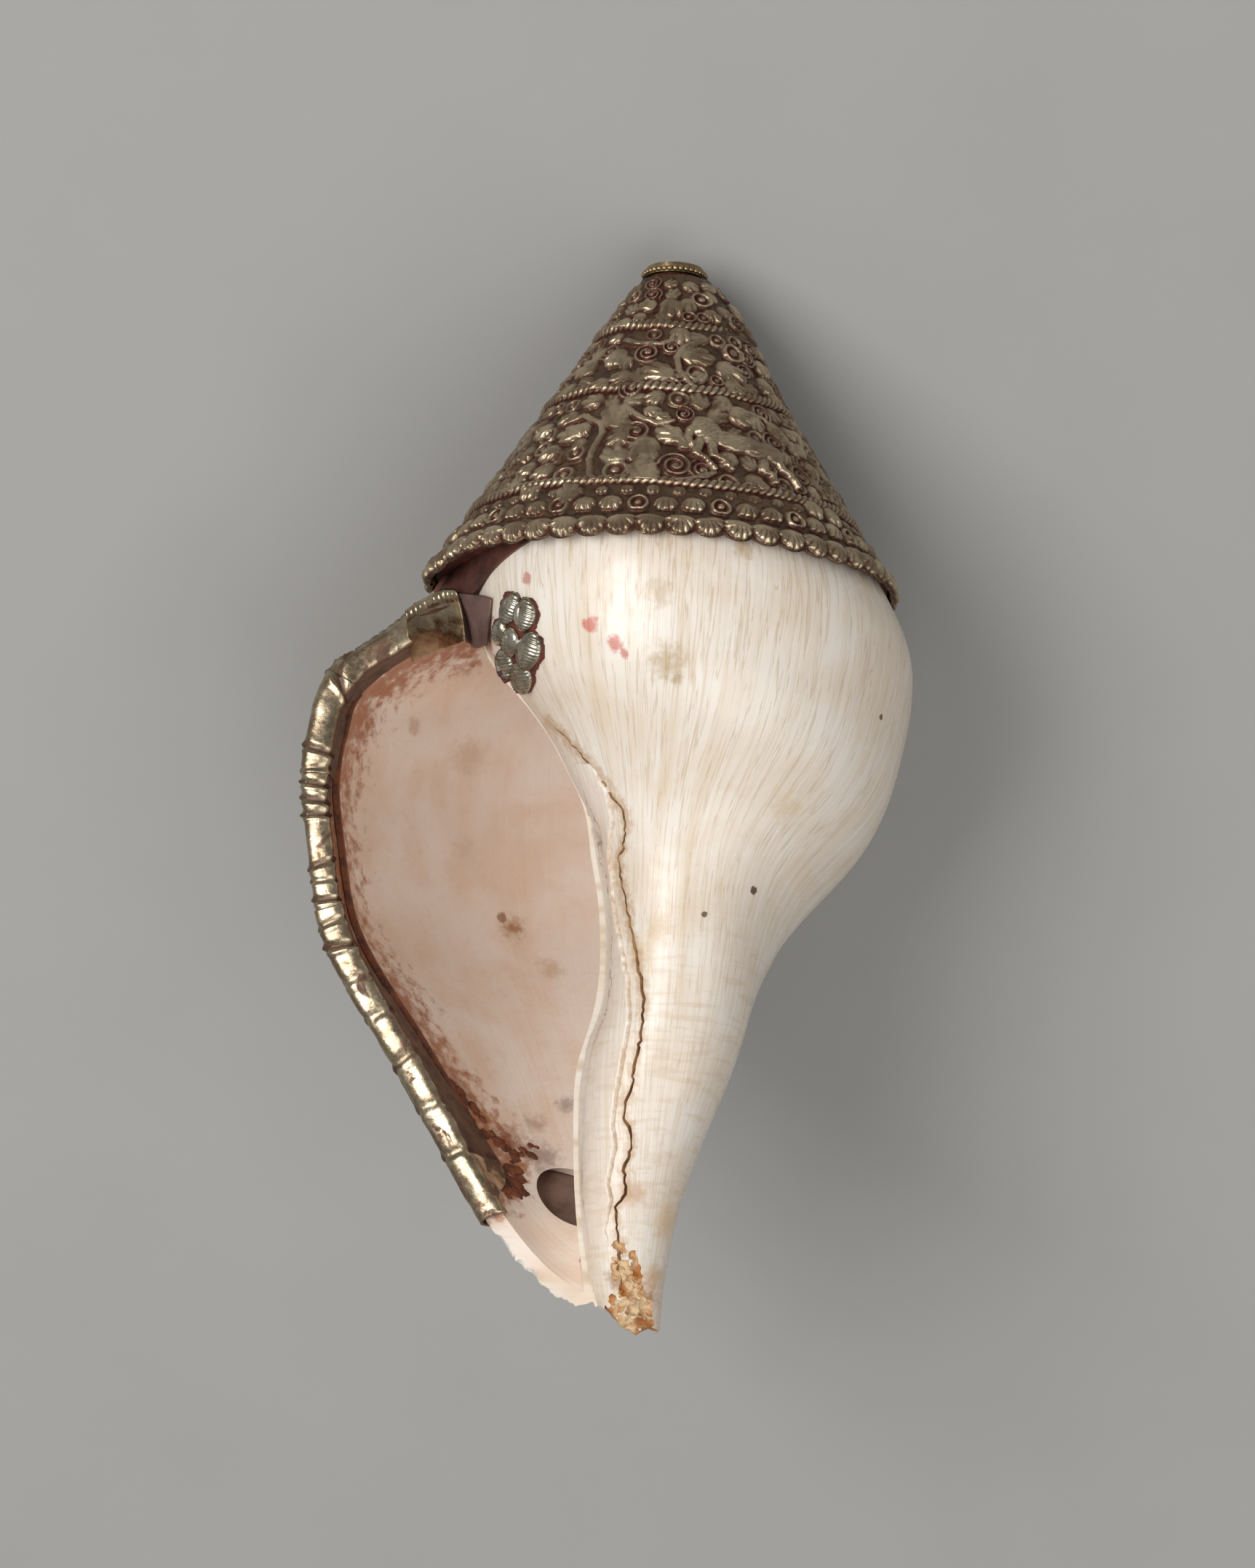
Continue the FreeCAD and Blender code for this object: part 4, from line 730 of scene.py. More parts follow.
# Each rope's radius and the pitch of its strands.
ROPES = {"upper": (1.05, 1.15), "middle": (1.0, 1.25), "lower": (0.95, 1.35)}
for (level, sizes), rope_drop in zip(ROPES.items(), ROPE_DROPS):
    make_rope("rope_" + level, "rope_wire_" + level, rope_drop, *sizes)


# The strips folded over the lip, laid on the wall of the CAD shell.
LIP_TOP, LIP_CORNER, LIP_SIDE, LIP_FOOT, LIP_END = 71.5, 84.0, 98.0, 123.5, 174.5
WALL_ANGLES = (0.15, 1.2, 2.6, 4.6, 7.5, 11.0, 15.0, 20.0)
INNER_TURN, OUTER_TURN = 0.5, 11.0
THICKEST_WALL = 6.5
LIP_DROP_OFF = 3.0
HALVINGS = 12

# The inner edge of the strips in the photograph.
INNER_EDGE = ((655, 884), (641, 886), (620, 888), (597, 891), (562, 909), (524, 940), (497, 962),
    (491, 985), (474, 1023), (458, 1067), (455, 1117), (459, 1176), (465, 1232), (487, 1302), (550, 1390),
    (586, 1448), (630, 1513), (666, 1567), (695, 1613), (694, 1632), (656, 1668))


def polyline_distance(across, down, line):
    """Distances of places to a polyline in the picture, in pixels, and the side that each is on."""
    best = np.full(np.shape(across), 1e9)
    side = np.zeros(np.shape(across))
    for (x0, y0), (x1, y1) in zip(line[:-1], line[1:]):
        step = np.array([x1 - x0, y1 - y0], float)
        share = np.clip(((across - x0) * step[0] + (down - y0) * step[1]) / (step @ step), 0.0, 1.0)
        away = np.hypot(across - x0 - share * step[0], down - y0 - share * step[1])
        nearer = away < best
        cross = (across - x0) * step[1] - (down - y0) * step[0]
        side = np.where(nearer, np.sign(cross), side)
        best = np.minimum(best, away)
    return best, side


def lip_angle(drop):
    """The angle at which the outer wall ends at the lip, found by halving."""
    inner, outer = INNER_TURN, OUTER_TURN
    rim = met_radius(shell_tree, outer, drop, RAY_START)
    for _ in range(HALVINGS):
        middle = (inner + outer) / 2.0
        met = met_radius(shell_tree, middle, drop, RAY_START)
        if met is not None and met > rim - LIP_DROP_OFF:
            outer = middle
        else:
            inner = middle
    return outer


class LipWall:
    """The wall beside the lip: its middle, its normal and half its thickness, back from the lip."""

    def __init__(self, drops):
        self.drops = drops
        outer = np.zeros((len(drops), len(WALL_ANGLES)))
        inner = np.zeros_like(outer)
        edges = np.array([lip_angle(drop) for drop in drops])
        edges = np.convolve(np.pad(edges, 3, mode="edge"), np.ones(7) / 7.0, "valid")
        for row, drop in enumerate(drops):
            for column, angle in enumerate(edges[row] + np.array(WALL_ANGLES)):
                top = met_radius(shell_tree, angle, drop, RAY_START) or outer[row - 1, column]
                low = met_radius(shell_tree, angle, drop, top - 0.3)
                if low is None or top - low > THICKEST_WALL:
                    low = top - (outer[row - 1, column] - inner[row - 1, column] if row else 4.0)
                outer[row, column], inner[row, column] = top, low
        kernel = np.array([1.0, 2.0, 3.0, 2.0, 1.0]) / 9.0
        for column in range(len(WALL_ANGLES)):
            for values in (outer, inner):
                padded = np.pad(values[:, column], 2, mode="edge")
                values[:, column] = np.convolve(padded, kernel, "valid")
        turn = edges[:, None] + np.array(WALL_ANGLES)[None, :]
        down = np.tile(drops[:, None], (1, len(WALL_ANGLES)))
        skin = places(turn, down, outer)
        self.middle = (skin + places(turn, down, inner)) / 2.0
        back = np.gradient(skin, axis=1)
        along = np.gradient(skin, axis=0)
        normal = np.cross(back, along)
        normal /= np.linalg.norm(normal, axis=2, keepdims=True)
        radial = skin - places(turn, down, outer * 0.0)
        self.normal = normal * np.sign((normal * radial).sum(axis=2))[..., None]
        radial /= np.linalg.norm(radial, axis=2, keepdims=True)
        lean = (self.normal * radial).sum(axis=2)
        self.half = (outer - inner) / 2.0 * np.clip(lean, 0.3, 1.0)
        self.depth = np.zeros_like(outer)
        steps = np.linalg.norm(np.diff(self.middle, axis=1), axis=2) / MM
        self.depth[:, 1:] = np.cumsum(steps, axis=1)

    def at(self, row, depth, out):
        """A point at a depth behind the lip's edge and a distance out from the wall's middle."""
        known = self.depth[row]
        held = min(max(depth, 0.0), known[-1])
        point = np.array([np.interp(held, known, self.middle[row, :, k]) for k in range(3)])
        normal = np.array([np.interp(held, known, self.normal[row, :, k]) for k in range(3)])
        if depth < 0.0:
            back = self.middle[row, 1] - self.middle[row, 0]
            point = point + back / np.linalg.norm(back) * depth * MM
        return point + normal / np.linalg.norm(normal) * out * MM

    def half_at(self, row, depth):
        return float(np.interp(max(depth, 0.0), self.depth[row], self.half[row]))


# Millimetres between sections, between strip and wall, of the sheet's thickness and of the outer flange.
STRIP_STEP, GAP, SHEET, OUTER_FLANGE = 0.3, 0.15, 0.5, 8.0
# Points of a section on its outside, round its fold and on its inside.
OUTER_POINTS, FOLD_POINTS, INNER_POINTS = 22, 30, 14
# How far the fold stands before the lip, and how square it is.
FOLD_REACH, FOLD_POWER = 1.15, 0.8
# Below this drop the inner flange is as bright as the fold, and this much stain leaves the outer one clean.
BARE_FLANGE, CLEAN = 165.0, -0.7
# The rope-like border of the top strip: half its width in points, its height, its strands' depth and pitch.
BORDER_HALF, BORDER_HEIGHT, STRAND_DEPTH, STRAND_PITCH = 4, 0.45, 0.25, 1.05

# Crimps across the strips: row of the photograph, depth, width and slant, in millimetres.
CRIMPS = ((1030, 0.55, 0.5, 1.2), (1056, 0.3, 0.5, -0.6), (1077, 0.75, 0.45, 1.0), (1099, 0.6, 0.5, 1.4),
    (1119, 0.7, 0.4, 0.6), (1187, 0.5, 0.5, -1.0), (1210, 0.3, 0.4, 0.5), (1236, 0.6, 0.45, 0.8),
    (1268, 0.35, 0.5, -0.8), (1300, 0.75, 0.5, 1.4), (1345, 0.25, 0.6, 0.8), (935, 0.9, 0.55, 5.0),
    (1395, 0.25, 0.7, 0.6), (1455, 0.3, 0.7, -0.8), (1520, 0.25, 0.8, 0.8), (1585, 0.3, 0.7, 1.0))


def strip_section(wall, row, inner_width, lift):
    """One section: out along the wall's outside, round the lip and back along its inside."""
    spots = []
    for k in range(OUTER_POINTS):
        depth = OUTER_FLANGE * (1.0 - k / OUTER_POINTS)
        spots.append((depth, wall.half_at(row, depth) + GAP + SHEET + lift))
    edge = wall.half_at(row, 0.0) + GAP + SHEET + lift
    for k in range(FOLD_POINTS + 1):
        swing = math.pi * k / FOLD_POINTS
        around, ahead = math.cos(swing), math.sin(swing)
        out = math.copysign(abs(around) ** FOLD_POWER, around) * edge
        spots.append((-abs(ahead) ** FOLD_POWER * (FOLD_REACH + lift), out))
    for k in range(1, INNER_POINTS + 1):
        depth = inner_width * k / INNER_POINTS
        spots.append((depth, -(wall.half_at(row, depth) + GAP + SHEET * 0.6 + lift)))
    return spots


def inner_width_at(wall, row):
    """How far the inner flange reaches, so that its edge shows where the photograph has it."""
    depths = np.arange(0.6, 9.0, 0.3)
    spots = np.array([wall.at(row, d, -(wall.half_at(row, d) + GAP + SHEET)) for d in depths])
    across, down = pixels_of(spots)
    away, _ = polyline_distance(across, down, INNER_EDGE)
    return float(depths[int(np.argmin(away))])


def notch(drop, index):
    """The rope-like border along the outer edge of the top strip, in millimetres of height."""
    along = abs(index - OUTER_POINTS + BORDER_HALF)
    if drop > LIP_CORNER or along >= BORDER_HALF:
        return 0.0
    hump = math.sqrt(1.0 - (along / BORDER_HALF) ** 2)
    strands = math.cos(2.0 * math.pi * drop / STRAND_PITCH + index * 0.8)
    return hump * (BORDER_HEIGHT + STRAND_DEPTH * strands)


def sunk_at(front_row, around):
    """How deep the crimps are at a row of the photograph and a share of the way round the fold."""
    sink = 0.0
    for middle, deep, wide, slant in CRIMPS:
        gap = (front_row - middle) * MM_PER_PIXEL - slant * (around - 0.5)
        if abs(gap) < wide * 4 and -0.15 < around < 1.15:
            sink += deep * (math.exp(-(gap / wide) ** 2) - 0.45 * math.exp(-((gap - 1.7 * wide) / wide) ** 2))
    return sink


def fold_strip(wall, name, node, rows, widths, front_rows, lift, stain, ripple):
    """Folds one strip over the lip: a flat sheet bent round the edge, crimped and rubbed uneven."""
    points, crimps, folds, stains = [], [], [], []
    for row in rows:
        drop = wall.drops[row]
        spots = strip_section(wall, row, widths[row], lift)
        line, crimp, fold, soiled = [], [], [], []
        for index, (depth, out) in enumerate(spots):
            around = (index - OUTER_POINTS) / FOLD_POINTS
            sink = sunk_at(front_rows[row], around)
            where = Vector((depth * 0.16, out * 0.16, drop * 0.23))
            grow = ripple * noise.noise(where) + 0.04 * noise.noise(where * 4.3) - sink
            grow += notch(drop, index)
            if depth <= 0.0:
                scale = 1.0 + grow / max(math.hypot(depth * 0.6, out), 1.5)
                line.append(wall.at(row, depth * scale, out * scale))
            else:
                line.append(wall.at(row, depth, out + math.copysign(grow, out)))
            crimp.append(min(max(sink, 0.0), 1.0))
            fold.append(min(around, 0.7) if drop > BARE_FLANGE else around)
            soiled.append(stain if around > -0.1 else CLEAN)
        points.append(line[::-1])
        crimps.append(crimp[::-1])
        folds.append(fold[::-1])
        stains.append(soiled[::-1])
    piece = sheet_piece(name, np.array(points))
    store(piece, "crimp", crimps)
    store(piece, "fold", folds)
    store(piece, "stain", stains)
    shape_with(piece, "SOLIDIFY", thickness=SHEET * MM, offset=-1.0)
    dress(piece, strip_brass, "strip_metal", node)
    return piece


def make_strips():
    drops = np.arange(LIP_TOP - 0.5, LIP_END + STRIP_STEP, STRIP_STEP)
    wall = LipWall(drops)
    widths = np.array([inner_width_at(wall, row) for row in range(len(drops))])
    widths = np.convolve(np.pad(widths, 4, mode="edge"), np.ones(9) / 9.0, "valid")
    front = np.array([wall.at(row, -1.0, 0.0) for row in range(len(drops))])
    front_rows = pixels_of(front)[1]
    parts = (("top", LIP_TOP, LIP_CORNER + 2.0, 0.0, 0.5, 0.16), ("corner", LIP_CORNER - 0.5,
        LIP_SIDE + 2.5, 0.30, 0.3, 0.16), ("side", LIP_SIDE, LIP_FOOT + 2.5, 0.0, 0.2, 0.18),
        ("foot", LIP_FOOT, LIP_END, 0.30, 0.5, 0.32),)
    for name, start, end, lift, stain, ripple in parts:
        rows = [row for row, drop in enumerate(drops) if start - 0.01 <= drop <= end]
        fold_strip(wall, "folded_strip_" + name, "lip_strip_" + name, rows, widths, front_rows, lift,
            stain, ripple)


strip_brass = folded_brass()
make_strips()


# Stains and smears of the shell: pixel, size in millimetres, colour, strength and how softly it ends.
STAINS = ((812, 858, 2.0, "#c9573f", 0.75, 0.6), (846, 884, 1.8, "#c85441", 0.75, 0.6),
    (858, 898, 1.1, "#c04c3c", 0.7, 0.6), (724, 796, 1.3, "#b5493b", 0.6, 0.5), (917, 908, 4.4, "#b3966a",
    0.65, 0.9), (905, 815, 3.2, "#b99d72", 0.5, 0.8), (1020, 752, 2.6, "#c3a67c", 0.6, 0.7),
    (930, 935, 1.6, "#a08354", 0.5, 0.8), (1211, 986, 0.7, "#6d3a28", 0.95, 0.3),
    (1036, 1224, 0.9, "#5d4630", 0.95, 0.3), (968, 1257, 0.6, "#6b4a33", 0.9, 0.3),
    (905, 1275, 3.0, "#cfae84", 0.5, 0.8), (703, 1277, 3.6, "#b98a5f", 0.7, 0.95),
    (757, 1332, 3.4, "#cda67c", 0.55, 0.95), (690, 1262, 1.3, "#8e5e38", 0.7, 0.5),
    (645, 1040, 5.0, "#c9a382", 0.4, 0.9), (570, 998, 2.4, "#b58a66", 0.45, 0.8),
    (640, 1170, 4.0, "#cfa685", 0.35, 0.9), (630, 1500, 4.0, "#8c4a30", 0.6, 0.9),
    (700, 1570, 4.5, "#8b4a33", 0.75, 0.9), (745, 1590, 4.5, "#7d4a38", 0.6, 0.9),
    (668, 1590, 3.5, "#8f4c32", 0.7, 0.9), (735, 1545, 3.0, "#a06a4c", 0.5, 0.9),
    (780, 1520, 2.5, "#6f4f3e", 0.5, 0.9), (595, 1480, 2.6, "#7e3822", 0.7, 0.9),
    (880, 1790, 4.5, "#a8662f", 0.8, 0.9), (850, 1760, 3.0, "#8b5a33", 0.7, 0.9),
    (900, 1755, 3.5, "#c79a66", 0.6, 0.9), (1080, 1110, 4.0, "#d8c09a", 0.5, 0.9),
    (880, 1310, 3.5, "#dcc29a", 0.5, 0.9), (606, 804, 3.0, "#6b3527", 0.95, 0.4),
    (705, 1274, 2.0, "#a8683a", 0.6, 0.9), (915, 1680, 4.0, "#d3ab7b", 0.5, 0.9),
    (870, 1640, 3.0, "#c08e60", 0.5, 0.9),)


# How ragged the edges of rust, stains and dust are, as shares of their reach.
RUST_RAGGED, STAIN_RAGGED, DUST_RAGGED = 1.9, 1.9, 1.6
# How far rust reaches inwards from the strips, and dust from the fissure, in millimetres.
RUST_REACH, DUST_REACH = 8.5, 3.0


def own_directions(tree, here):
    """The place in the shell's own directions, with its axis as Z."""
    turn = Matrix((RIGHT, -OUT, UP)).transposed().to_euler()
    return add(tree, "Mapping", {"Vector": here, "Location": tuple(BORE_MIDDLE), "Rotation": tuple(turn)},
        vector_type="TEXTURE")


def chank_shell():
    """Polished chank shell: cream porcelain with growth lines outside, glossy pinkish nacre inside, painted
    paler than its own colour as painted light where the mouth lies in shade.
    """
    material, tree, shader, here = begin("chank_shell")
    own = own_directions(tree, here)
    flat = add(tree, "VectorMath", {0: own, 1: (1.0, 1.0, 0.0)}, operation="MULTIPLY")
    away = add(tree, "VectorMath", {0: flat}, operation="NORMALIZE")
    tall = add(tree, "VectorMath", {0: own, 1: (0.0, 0.0, 1.0)}, operation="MULTIPLY")

    # Growth lines lie 1 to 2 mm apart on the widest turn and run along the shell.
    # Bands are broader, and cords of the canal cross the growth lines about 1.1 mm apart.
    lines, broad, across = (add(tree, "VectorMath", {0: away, 1: (times_round,) * 3,
        2: add(tree, "VectorMath", {0: tall, 1: (per(size),) * 3}, operation="MULTIPLY")},
        operation="MULTIPLY_ADD") for times_round, size in ((30.0, 26.0), (7.0, 40.0), (2.0, 1.1)))
    growth = add(tree, "TexNoise", {"Vector": lines, "Scale": 1.0, "Detail": 3.0, "Roughness": 0.6,
        "Distortion": 0.35})
    bands = add(tree, "TexNoise", {"Vector": broad, "Scale": 1.0, "Detail": 3.0, "Roughness": 0.55,
        "Distortion": 0.5})
    # The cords show only on the canal.
    cords = add(tree, "TexNoise", {"Vector": across, "Scale": 1.0, "Detail": 2.0})
    height = add(tree, "SeparateXYZ", {0: own}, 2)
    canal = add(tree, "MapRange", {0: height, 1: -0.100, 2: -0.122, 3: 0.0, 4: 1.0}, **SMOOTH)

    # Cream turns to buff in clouds 14 mm wide; dirt has grains of 2.4 mm and ragged edges of 1.6 mm.
    cloud = add(tree, "TexNoise", {"Vector": here, "Scale": per(14.0), "Detail": 5.0, "Roughness": 0.55,
        "Distortion": 0.4})
    mottle = add(tree, "TexNoise", {"Vector": here, "Scale": per(2.4), "Detail": 5.0, "Roughness": 0.65})
    ragged = add(tree, "TexNoise", {"Vector": here, "Scale": per(1.6), "Detail": 6.0, "Roughness": 0.7})
    skin = add(tree, "Mix", {0: add(tree, "MapRange", {0: cloud, 1: 0.35, 2: 0.68}, **SMOOTH),
        6: colour("#efe6da"), 7: colour("#e8d9c6")}, 2, **COLOURS)
    line = add(tree, "Math", {0: add(tree, "Math", {0: growth, 1: 0.52}, operation="SUBTRACT")},
        operation="ABSOLUTE")
    for value, low, high, share, tint in ((bands, 0.52, 0.75, 0.35, "#dcc6a6"),
            (line, 0.035, 0.0, 0.5, "#bfa27b"), (growth, 0.52, 0.66, 0.16, "#c9ac87")):
        amount = add(tree, "MapRange", {0: value, 1: low, 2: high, 3: 0.0, 4: share}, **SMOOTH)
        skin = add(tree, "Mix", {0: amount, 6: skin, 7: colour(tint)}, 2, **COLOURS)
    crossed = add(tree, "MapRange", {0: cords, 1: 0.5, 2: 0.65, 3: 0.0, 4: 0.3}, **SMOOTH)
    skin = add(tree, "Mix", {0: add(tree, "Math", {0: crossed, 1: canal}, operation="MULTIPLY"), 6: skin,
        7: colour("#cdb492")}, 2, **COLOURS)

    # The pinkish nacre inside is painted paler than its own colour, as painted light where the inside of the
    # mouth lies in shade.
    nacre = add(tree, "Mix", {0: add(tree, "MapRange", {0: cloud, 1: 0.35, 2: 0.66}, **SMOOTH),
        6: colour("#f7e6d8"), 7: colour("#eed4be")}, 2, **COLOURS)
    nacre = add(tree, "Mix", {0: add(tree, "MapRange", {0: bands, 1: 0.45, 2: 0.7, 3: 0.0, 4: 0.55},
        **SMOOTH), 6: nacre, 7: colour("#f6e8da")}, 2, **COLOURS)
    inside = add(tree, "Attribute", {}, "Fac", attribute_name="inside")
    tone = add(tree, "Mix", {0: inside, 6: skin, 7: nacre}, 2, **COLOURS)

    # Rust and lac have crept out from under the strips, and the stains have their own places.
    rust = add(tree, "Attribute", {}, "Fac", attribute_name="rust")
    mottled = add(tree, "Math", {0: mottle, 1: 0.5}, operation="SUBTRACT")
    frayed = add(tree, "Math", {0: ragged, 1: 0.5}, operation="SUBTRACT")
    crept = add(tree, "Math", {0: mottled, 1: RUST_RAGGED, 2: rust}, operation="MULTIPLY_ADD")
    tone = add(tree, "Mix", {0: add(tree, "MapRange", {0: crept, 1: 0.36, 2: 0.95, 3: 0.0, 4: 0.9},
        **SMOOTH), 6: tone, 7: colour("#a96234")}, 2, **COLOURS)
    for across_by, down_by, size, tint, share, spread in STAINS:
        point, _ = seen_point(shell_tree, across_by, down_by)
        if point is None:
            continue
        gap = add(tree, "VectorMath", {0: here, 1: tuple(point)}, "Value", operation="DISTANCE")
        reach = add(tree, "Math", {0: frayed, 1: size * MM * STAIN_RAGGED, 2: gap}, operation="MULTIPLY_ADD")
        amount = add(tree, "MapRange", {0: reach, 1: size * MM, 2: size * MM * (1.0 - spread), 3: 0.0,
            4: share}, **SMOOTH)
        tone = add(tree, "Mix", {0: amount, 6: tone, 7: colour(tint)}, 2, **COLOURS)

    dust = add(tree, "Attribute", {}, "Fac", attribute_name="crack")
    soiled = add(tree, "Math", {0: frayed, 1: DUST_RAGGED, 2: dust}, operation="MULTIPLY_ADD")
    tone = add(tree, "Mix", {0: add(tree, "MapRange", {0: soiled, 1: 0.5, 2: 1.0, 3: 0.0, 4: 0.6},
        **SMOOTH), 6: tone, 7: colour("#b98d5f")}, 2, **COLOURS)

    gloss = add(tree, "MapRange", {0: mottle, 1: 0.35, 2: 0.7, 3: 0.26, 4: 0.4}, **SMOOTH)
    raised = add(tree, "Math", {0: growth, 1: 0.8, 2: cloud}, operation="MULTIPLY_ADD")
    raised = add(tree, "Math", {0: add(tree, "Math", {0: cords, 1: canal}, operation="MULTIPLY"), 1: 0.4,
        2: raised}, operation="MULTIPLY_ADD")
    feed(tree, shader, {"Base Color": tone, "Roughness": gloss, "IOR": 1.53, "Subsurface Weight": 0.12,
        "Subsurface Radius": (1.0, 0.6, 0.4), "Subsurface Scale": 2.0 * MM, "Normal": add(tree, "Bump",
        {"Height": raised, "Strength": 0.22, "Distance": 0.35 * MM})})
    return material


def broken_shell(name, pale, stained):
    """Freshly broken shell: chalky and rough, with dirt held in its steps."""
    material, tree, shader, here = begin(name)
    # Dirt lies in patches 3.5 mm wide on steps 1.2 mm wide.
    cloud = add(tree, "TexNoise", {"Vector": here, "Scale": per(3.5), "Detail": 5.0, "Roughness": 0.6})
    steps = add(tree, "TexNoise", {"Vector": here, "Scale": per(1.2), "Detail": 5.0, "Roughness": 0.7})
    tone = add(tree, "Mix", {0: add(tree, "MapRange", {0: cloud, 1: 0.42, 2: 0.6}, **SMOOTH),
        6: colour(pale), 7: colour(stained)}, 2, **COLOURS)
    tone = add(tree, "Mix", {0: add(tree, "MapRange", {0: steps, 1: 0.55, 2: 0.75, 3: 0.0, 4: 0.5},
        **SMOOTH), 6: tone, 7: colour("#8a5f3c")}, 2, **COLOURS)
    feed(tree, shader, {"Base Color": tone, "Roughness": 0.75, "Normal": add(tree, "Bump",
        {"Height": steps, "Strength": 0.6, "Distance": 0.5 * MM})})
    return material


# The fissure beside the columella, from its start to the tip of the canal, in the photograph.
FISSURE = ((752, 992), (774, 1010), (795, 1033), (812, 1054), (828, 1074), (842, 1096), (857, 1114),
    (860, 1136), (856, 1166), (850, 1180), (852, 1204), (860, 1240), (869, 1284), (878, 1330), (884, 1368),
    (883, 1400), (880, 1431), (872, 1460), (869, 1495), (860, 1515), (857, 1537), (866, 1550), (867, 1579),
    (858, 1610), (861, 1642), (846, 1660), (848, 1684), (852, 1715), (850, 1747), (858, 1775))


def at_pixel(across, down, depth):
    """The place under a pixel, depth millimetres beyond the middle distance of the view."""
    ray = pixel_ray(across, down)
    return view_spot + ray * ((VIEW_DISTANCE + depth) * MM / ray.dot(view_forward))


def surface_line(line, gap, seed, wander):
    """Points on the seen side of the shell along a line of the picture, and their normals."""
    chance = random.Random(seed)
    points, normals = [], []
    for (x0, y0), (x1, y1) in zip(line[:-1], line[1:]):
        length = math.hypot(x1 - x0, y1 - y0)
        count = max(1, int(length / gap))
        for k in range(count):
            share = k / count
            off = chance.uniform(-wander, wander)
            hit, normal = seen_point(shell_tree, x0 + (x1 - x0) * share + off, y0 + (y1 - y0) * share)
            if hit is None or normal.dot(view_forward) > -0.3:
                continue
            if not points or (hit - points[-1]).length < 3.0 * MM:
                points.append(hit)
                normals.append(normal)
    return points, normals


def crack_cutter(line, width, depth, seed):
    """A thin wedge that follows a crack and is sunk into the shell along it."""
    points, normals = surface_line(line, 5.0, seed, 1.6)
    rows = []
    for index, (point, normal) in enumerate(zip(points, normals)):
        ahead = points[min(index + 1, len(points) - 1)] - points[max(index - 1, 0)]
        side = ahead.cross(normal).normalized()
        taper = min(1.0, 0.25 + 0.25 * min(index, len(points) - 1 - index))
        wide = width * taper * (0.75 + 0.5 * noise.noise(point * 400.0)) * MM / 2.0
        deep = depth * taper * MM
        rows.append([point + side * wide + normal * 0.6 * MM, point + side * wide * 0.8,
            point - normal * deep, point - side * wide * 0.8, point - side * wide + normal * 0.6 * MM,
            point + side * wide + normal * 0.6 * MM])
    return closed_cutter("crack_cutter", rows)


def closed_cutter(name, rows):
    """A solid through closed sections, capped at its ends."""
    cutter = sheet_piece(name, np.array(rows))
    weld(cutter)
    only(cutter)
    bpy.ops.object.mode_set(mode="EDIT")
    bpy.ops.mesh.select_all(action="DESELECT")
    bpy.ops.mesh.select_mode(type="EDGE")
    bpy.ops.mesh.select_non_manifold()
    bpy.ops.mesh.edge_face_add()
    bpy.ops.mesh.select_all(action="SELECT")
    bpy.ops.mesh.normals_make_consistent(inside=False)
    bpy.ops.object.mode_set(mode="OBJECT")
    return cutter


def rough_cutter(middle, size, seed, roughness=0.3, squash=(1.0, 1.0, 1.0)):
    """A rough lump that bites a piece out of the shell."""
    bpy.ops.object.select_all(action="DESELECT")
    bpy.ops.mesh.primitive_ico_sphere_add(subdivisions=4, radius=1.0)
    cutter = bpy.context.object
    for vertex in cutter.data.vertices:
        co = vertex.co
        lump = noise.noise(co * 1.3 + Vector((seed, 0, 0))) + 0.5 * noise.noise(co * 3.1
            + Vector((0, seed, 0)))
        lump += 0.3 * noise.noise(co * 6.0 + Vector((0, 0, seed)))
        grown = co * (1.0 + roughness * lump)
        local = Vector((grown.x * squash[0], grown.y * squash[1], grown.z * squash[2])) * (size * MM)
        vertex.co = middle + RIGHT * local.x - OUT * local.y + UP * local.z
    cutter.data.update()
    return cutter


def cut_with(piece, cutter, material):
    """Takes a cutter's shape out of a piece and leaves its material on the new faces."""
    cutter.data.materials.clear()
    cutter.data.materials.append(material)
    shape_with(piece, "BOOLEAN", operation="DIFFERENCE", solver="EXACT", object=cutter,
        material_mode="TRANSFER")
    bpy.data.objects.remove(cutter, do_unlink=True)


# The broken edge of the bare lip and of the canal's end in the photograph, and the knapped places
# on the end: pixel, size, seed and how far below the skin each one's middle lies.
LIP_BREAK = ((640, 1662), (661, 1670), (680, 1697), (695, 1717), (707, 1738), (719, 1751), (743, 1770),
    (762, 1785), (782, 1794), (805, 1797), (826, 1799), (838, 1808))
TIP_BREAK = ((830, 1800), (845, 1818), (860, 1828), (875, 1833), (890, 1830), (905, 1829), (920, 1826),
    (950, 1822))
TIP_BITES = ((850, 1716, 2.0, 2.2, -1.5), (864, 1738, 2.6, 3.1, -2.0), (848, 1752, 2.6, 4.0, -2.0),
    (876, 1756, 2.4, 3.6, -1.8), (860, 1776, 3.0, 5.0, -2.2), (884, 1782, 2.8, 6.0, -2.1),
    (846, 1794, 2.8, 7.0, -2.0), (868, 1802, 3.2, 8.0, -2.4), (892, 1806, 2.8, 9.0, -2.0),
    (856, 1822, 2.8, 9.7, -1.9), (880, 1826, 3.0, 1.4, -2.0))
BREAK_SIDE = (-0.3, 0.95)


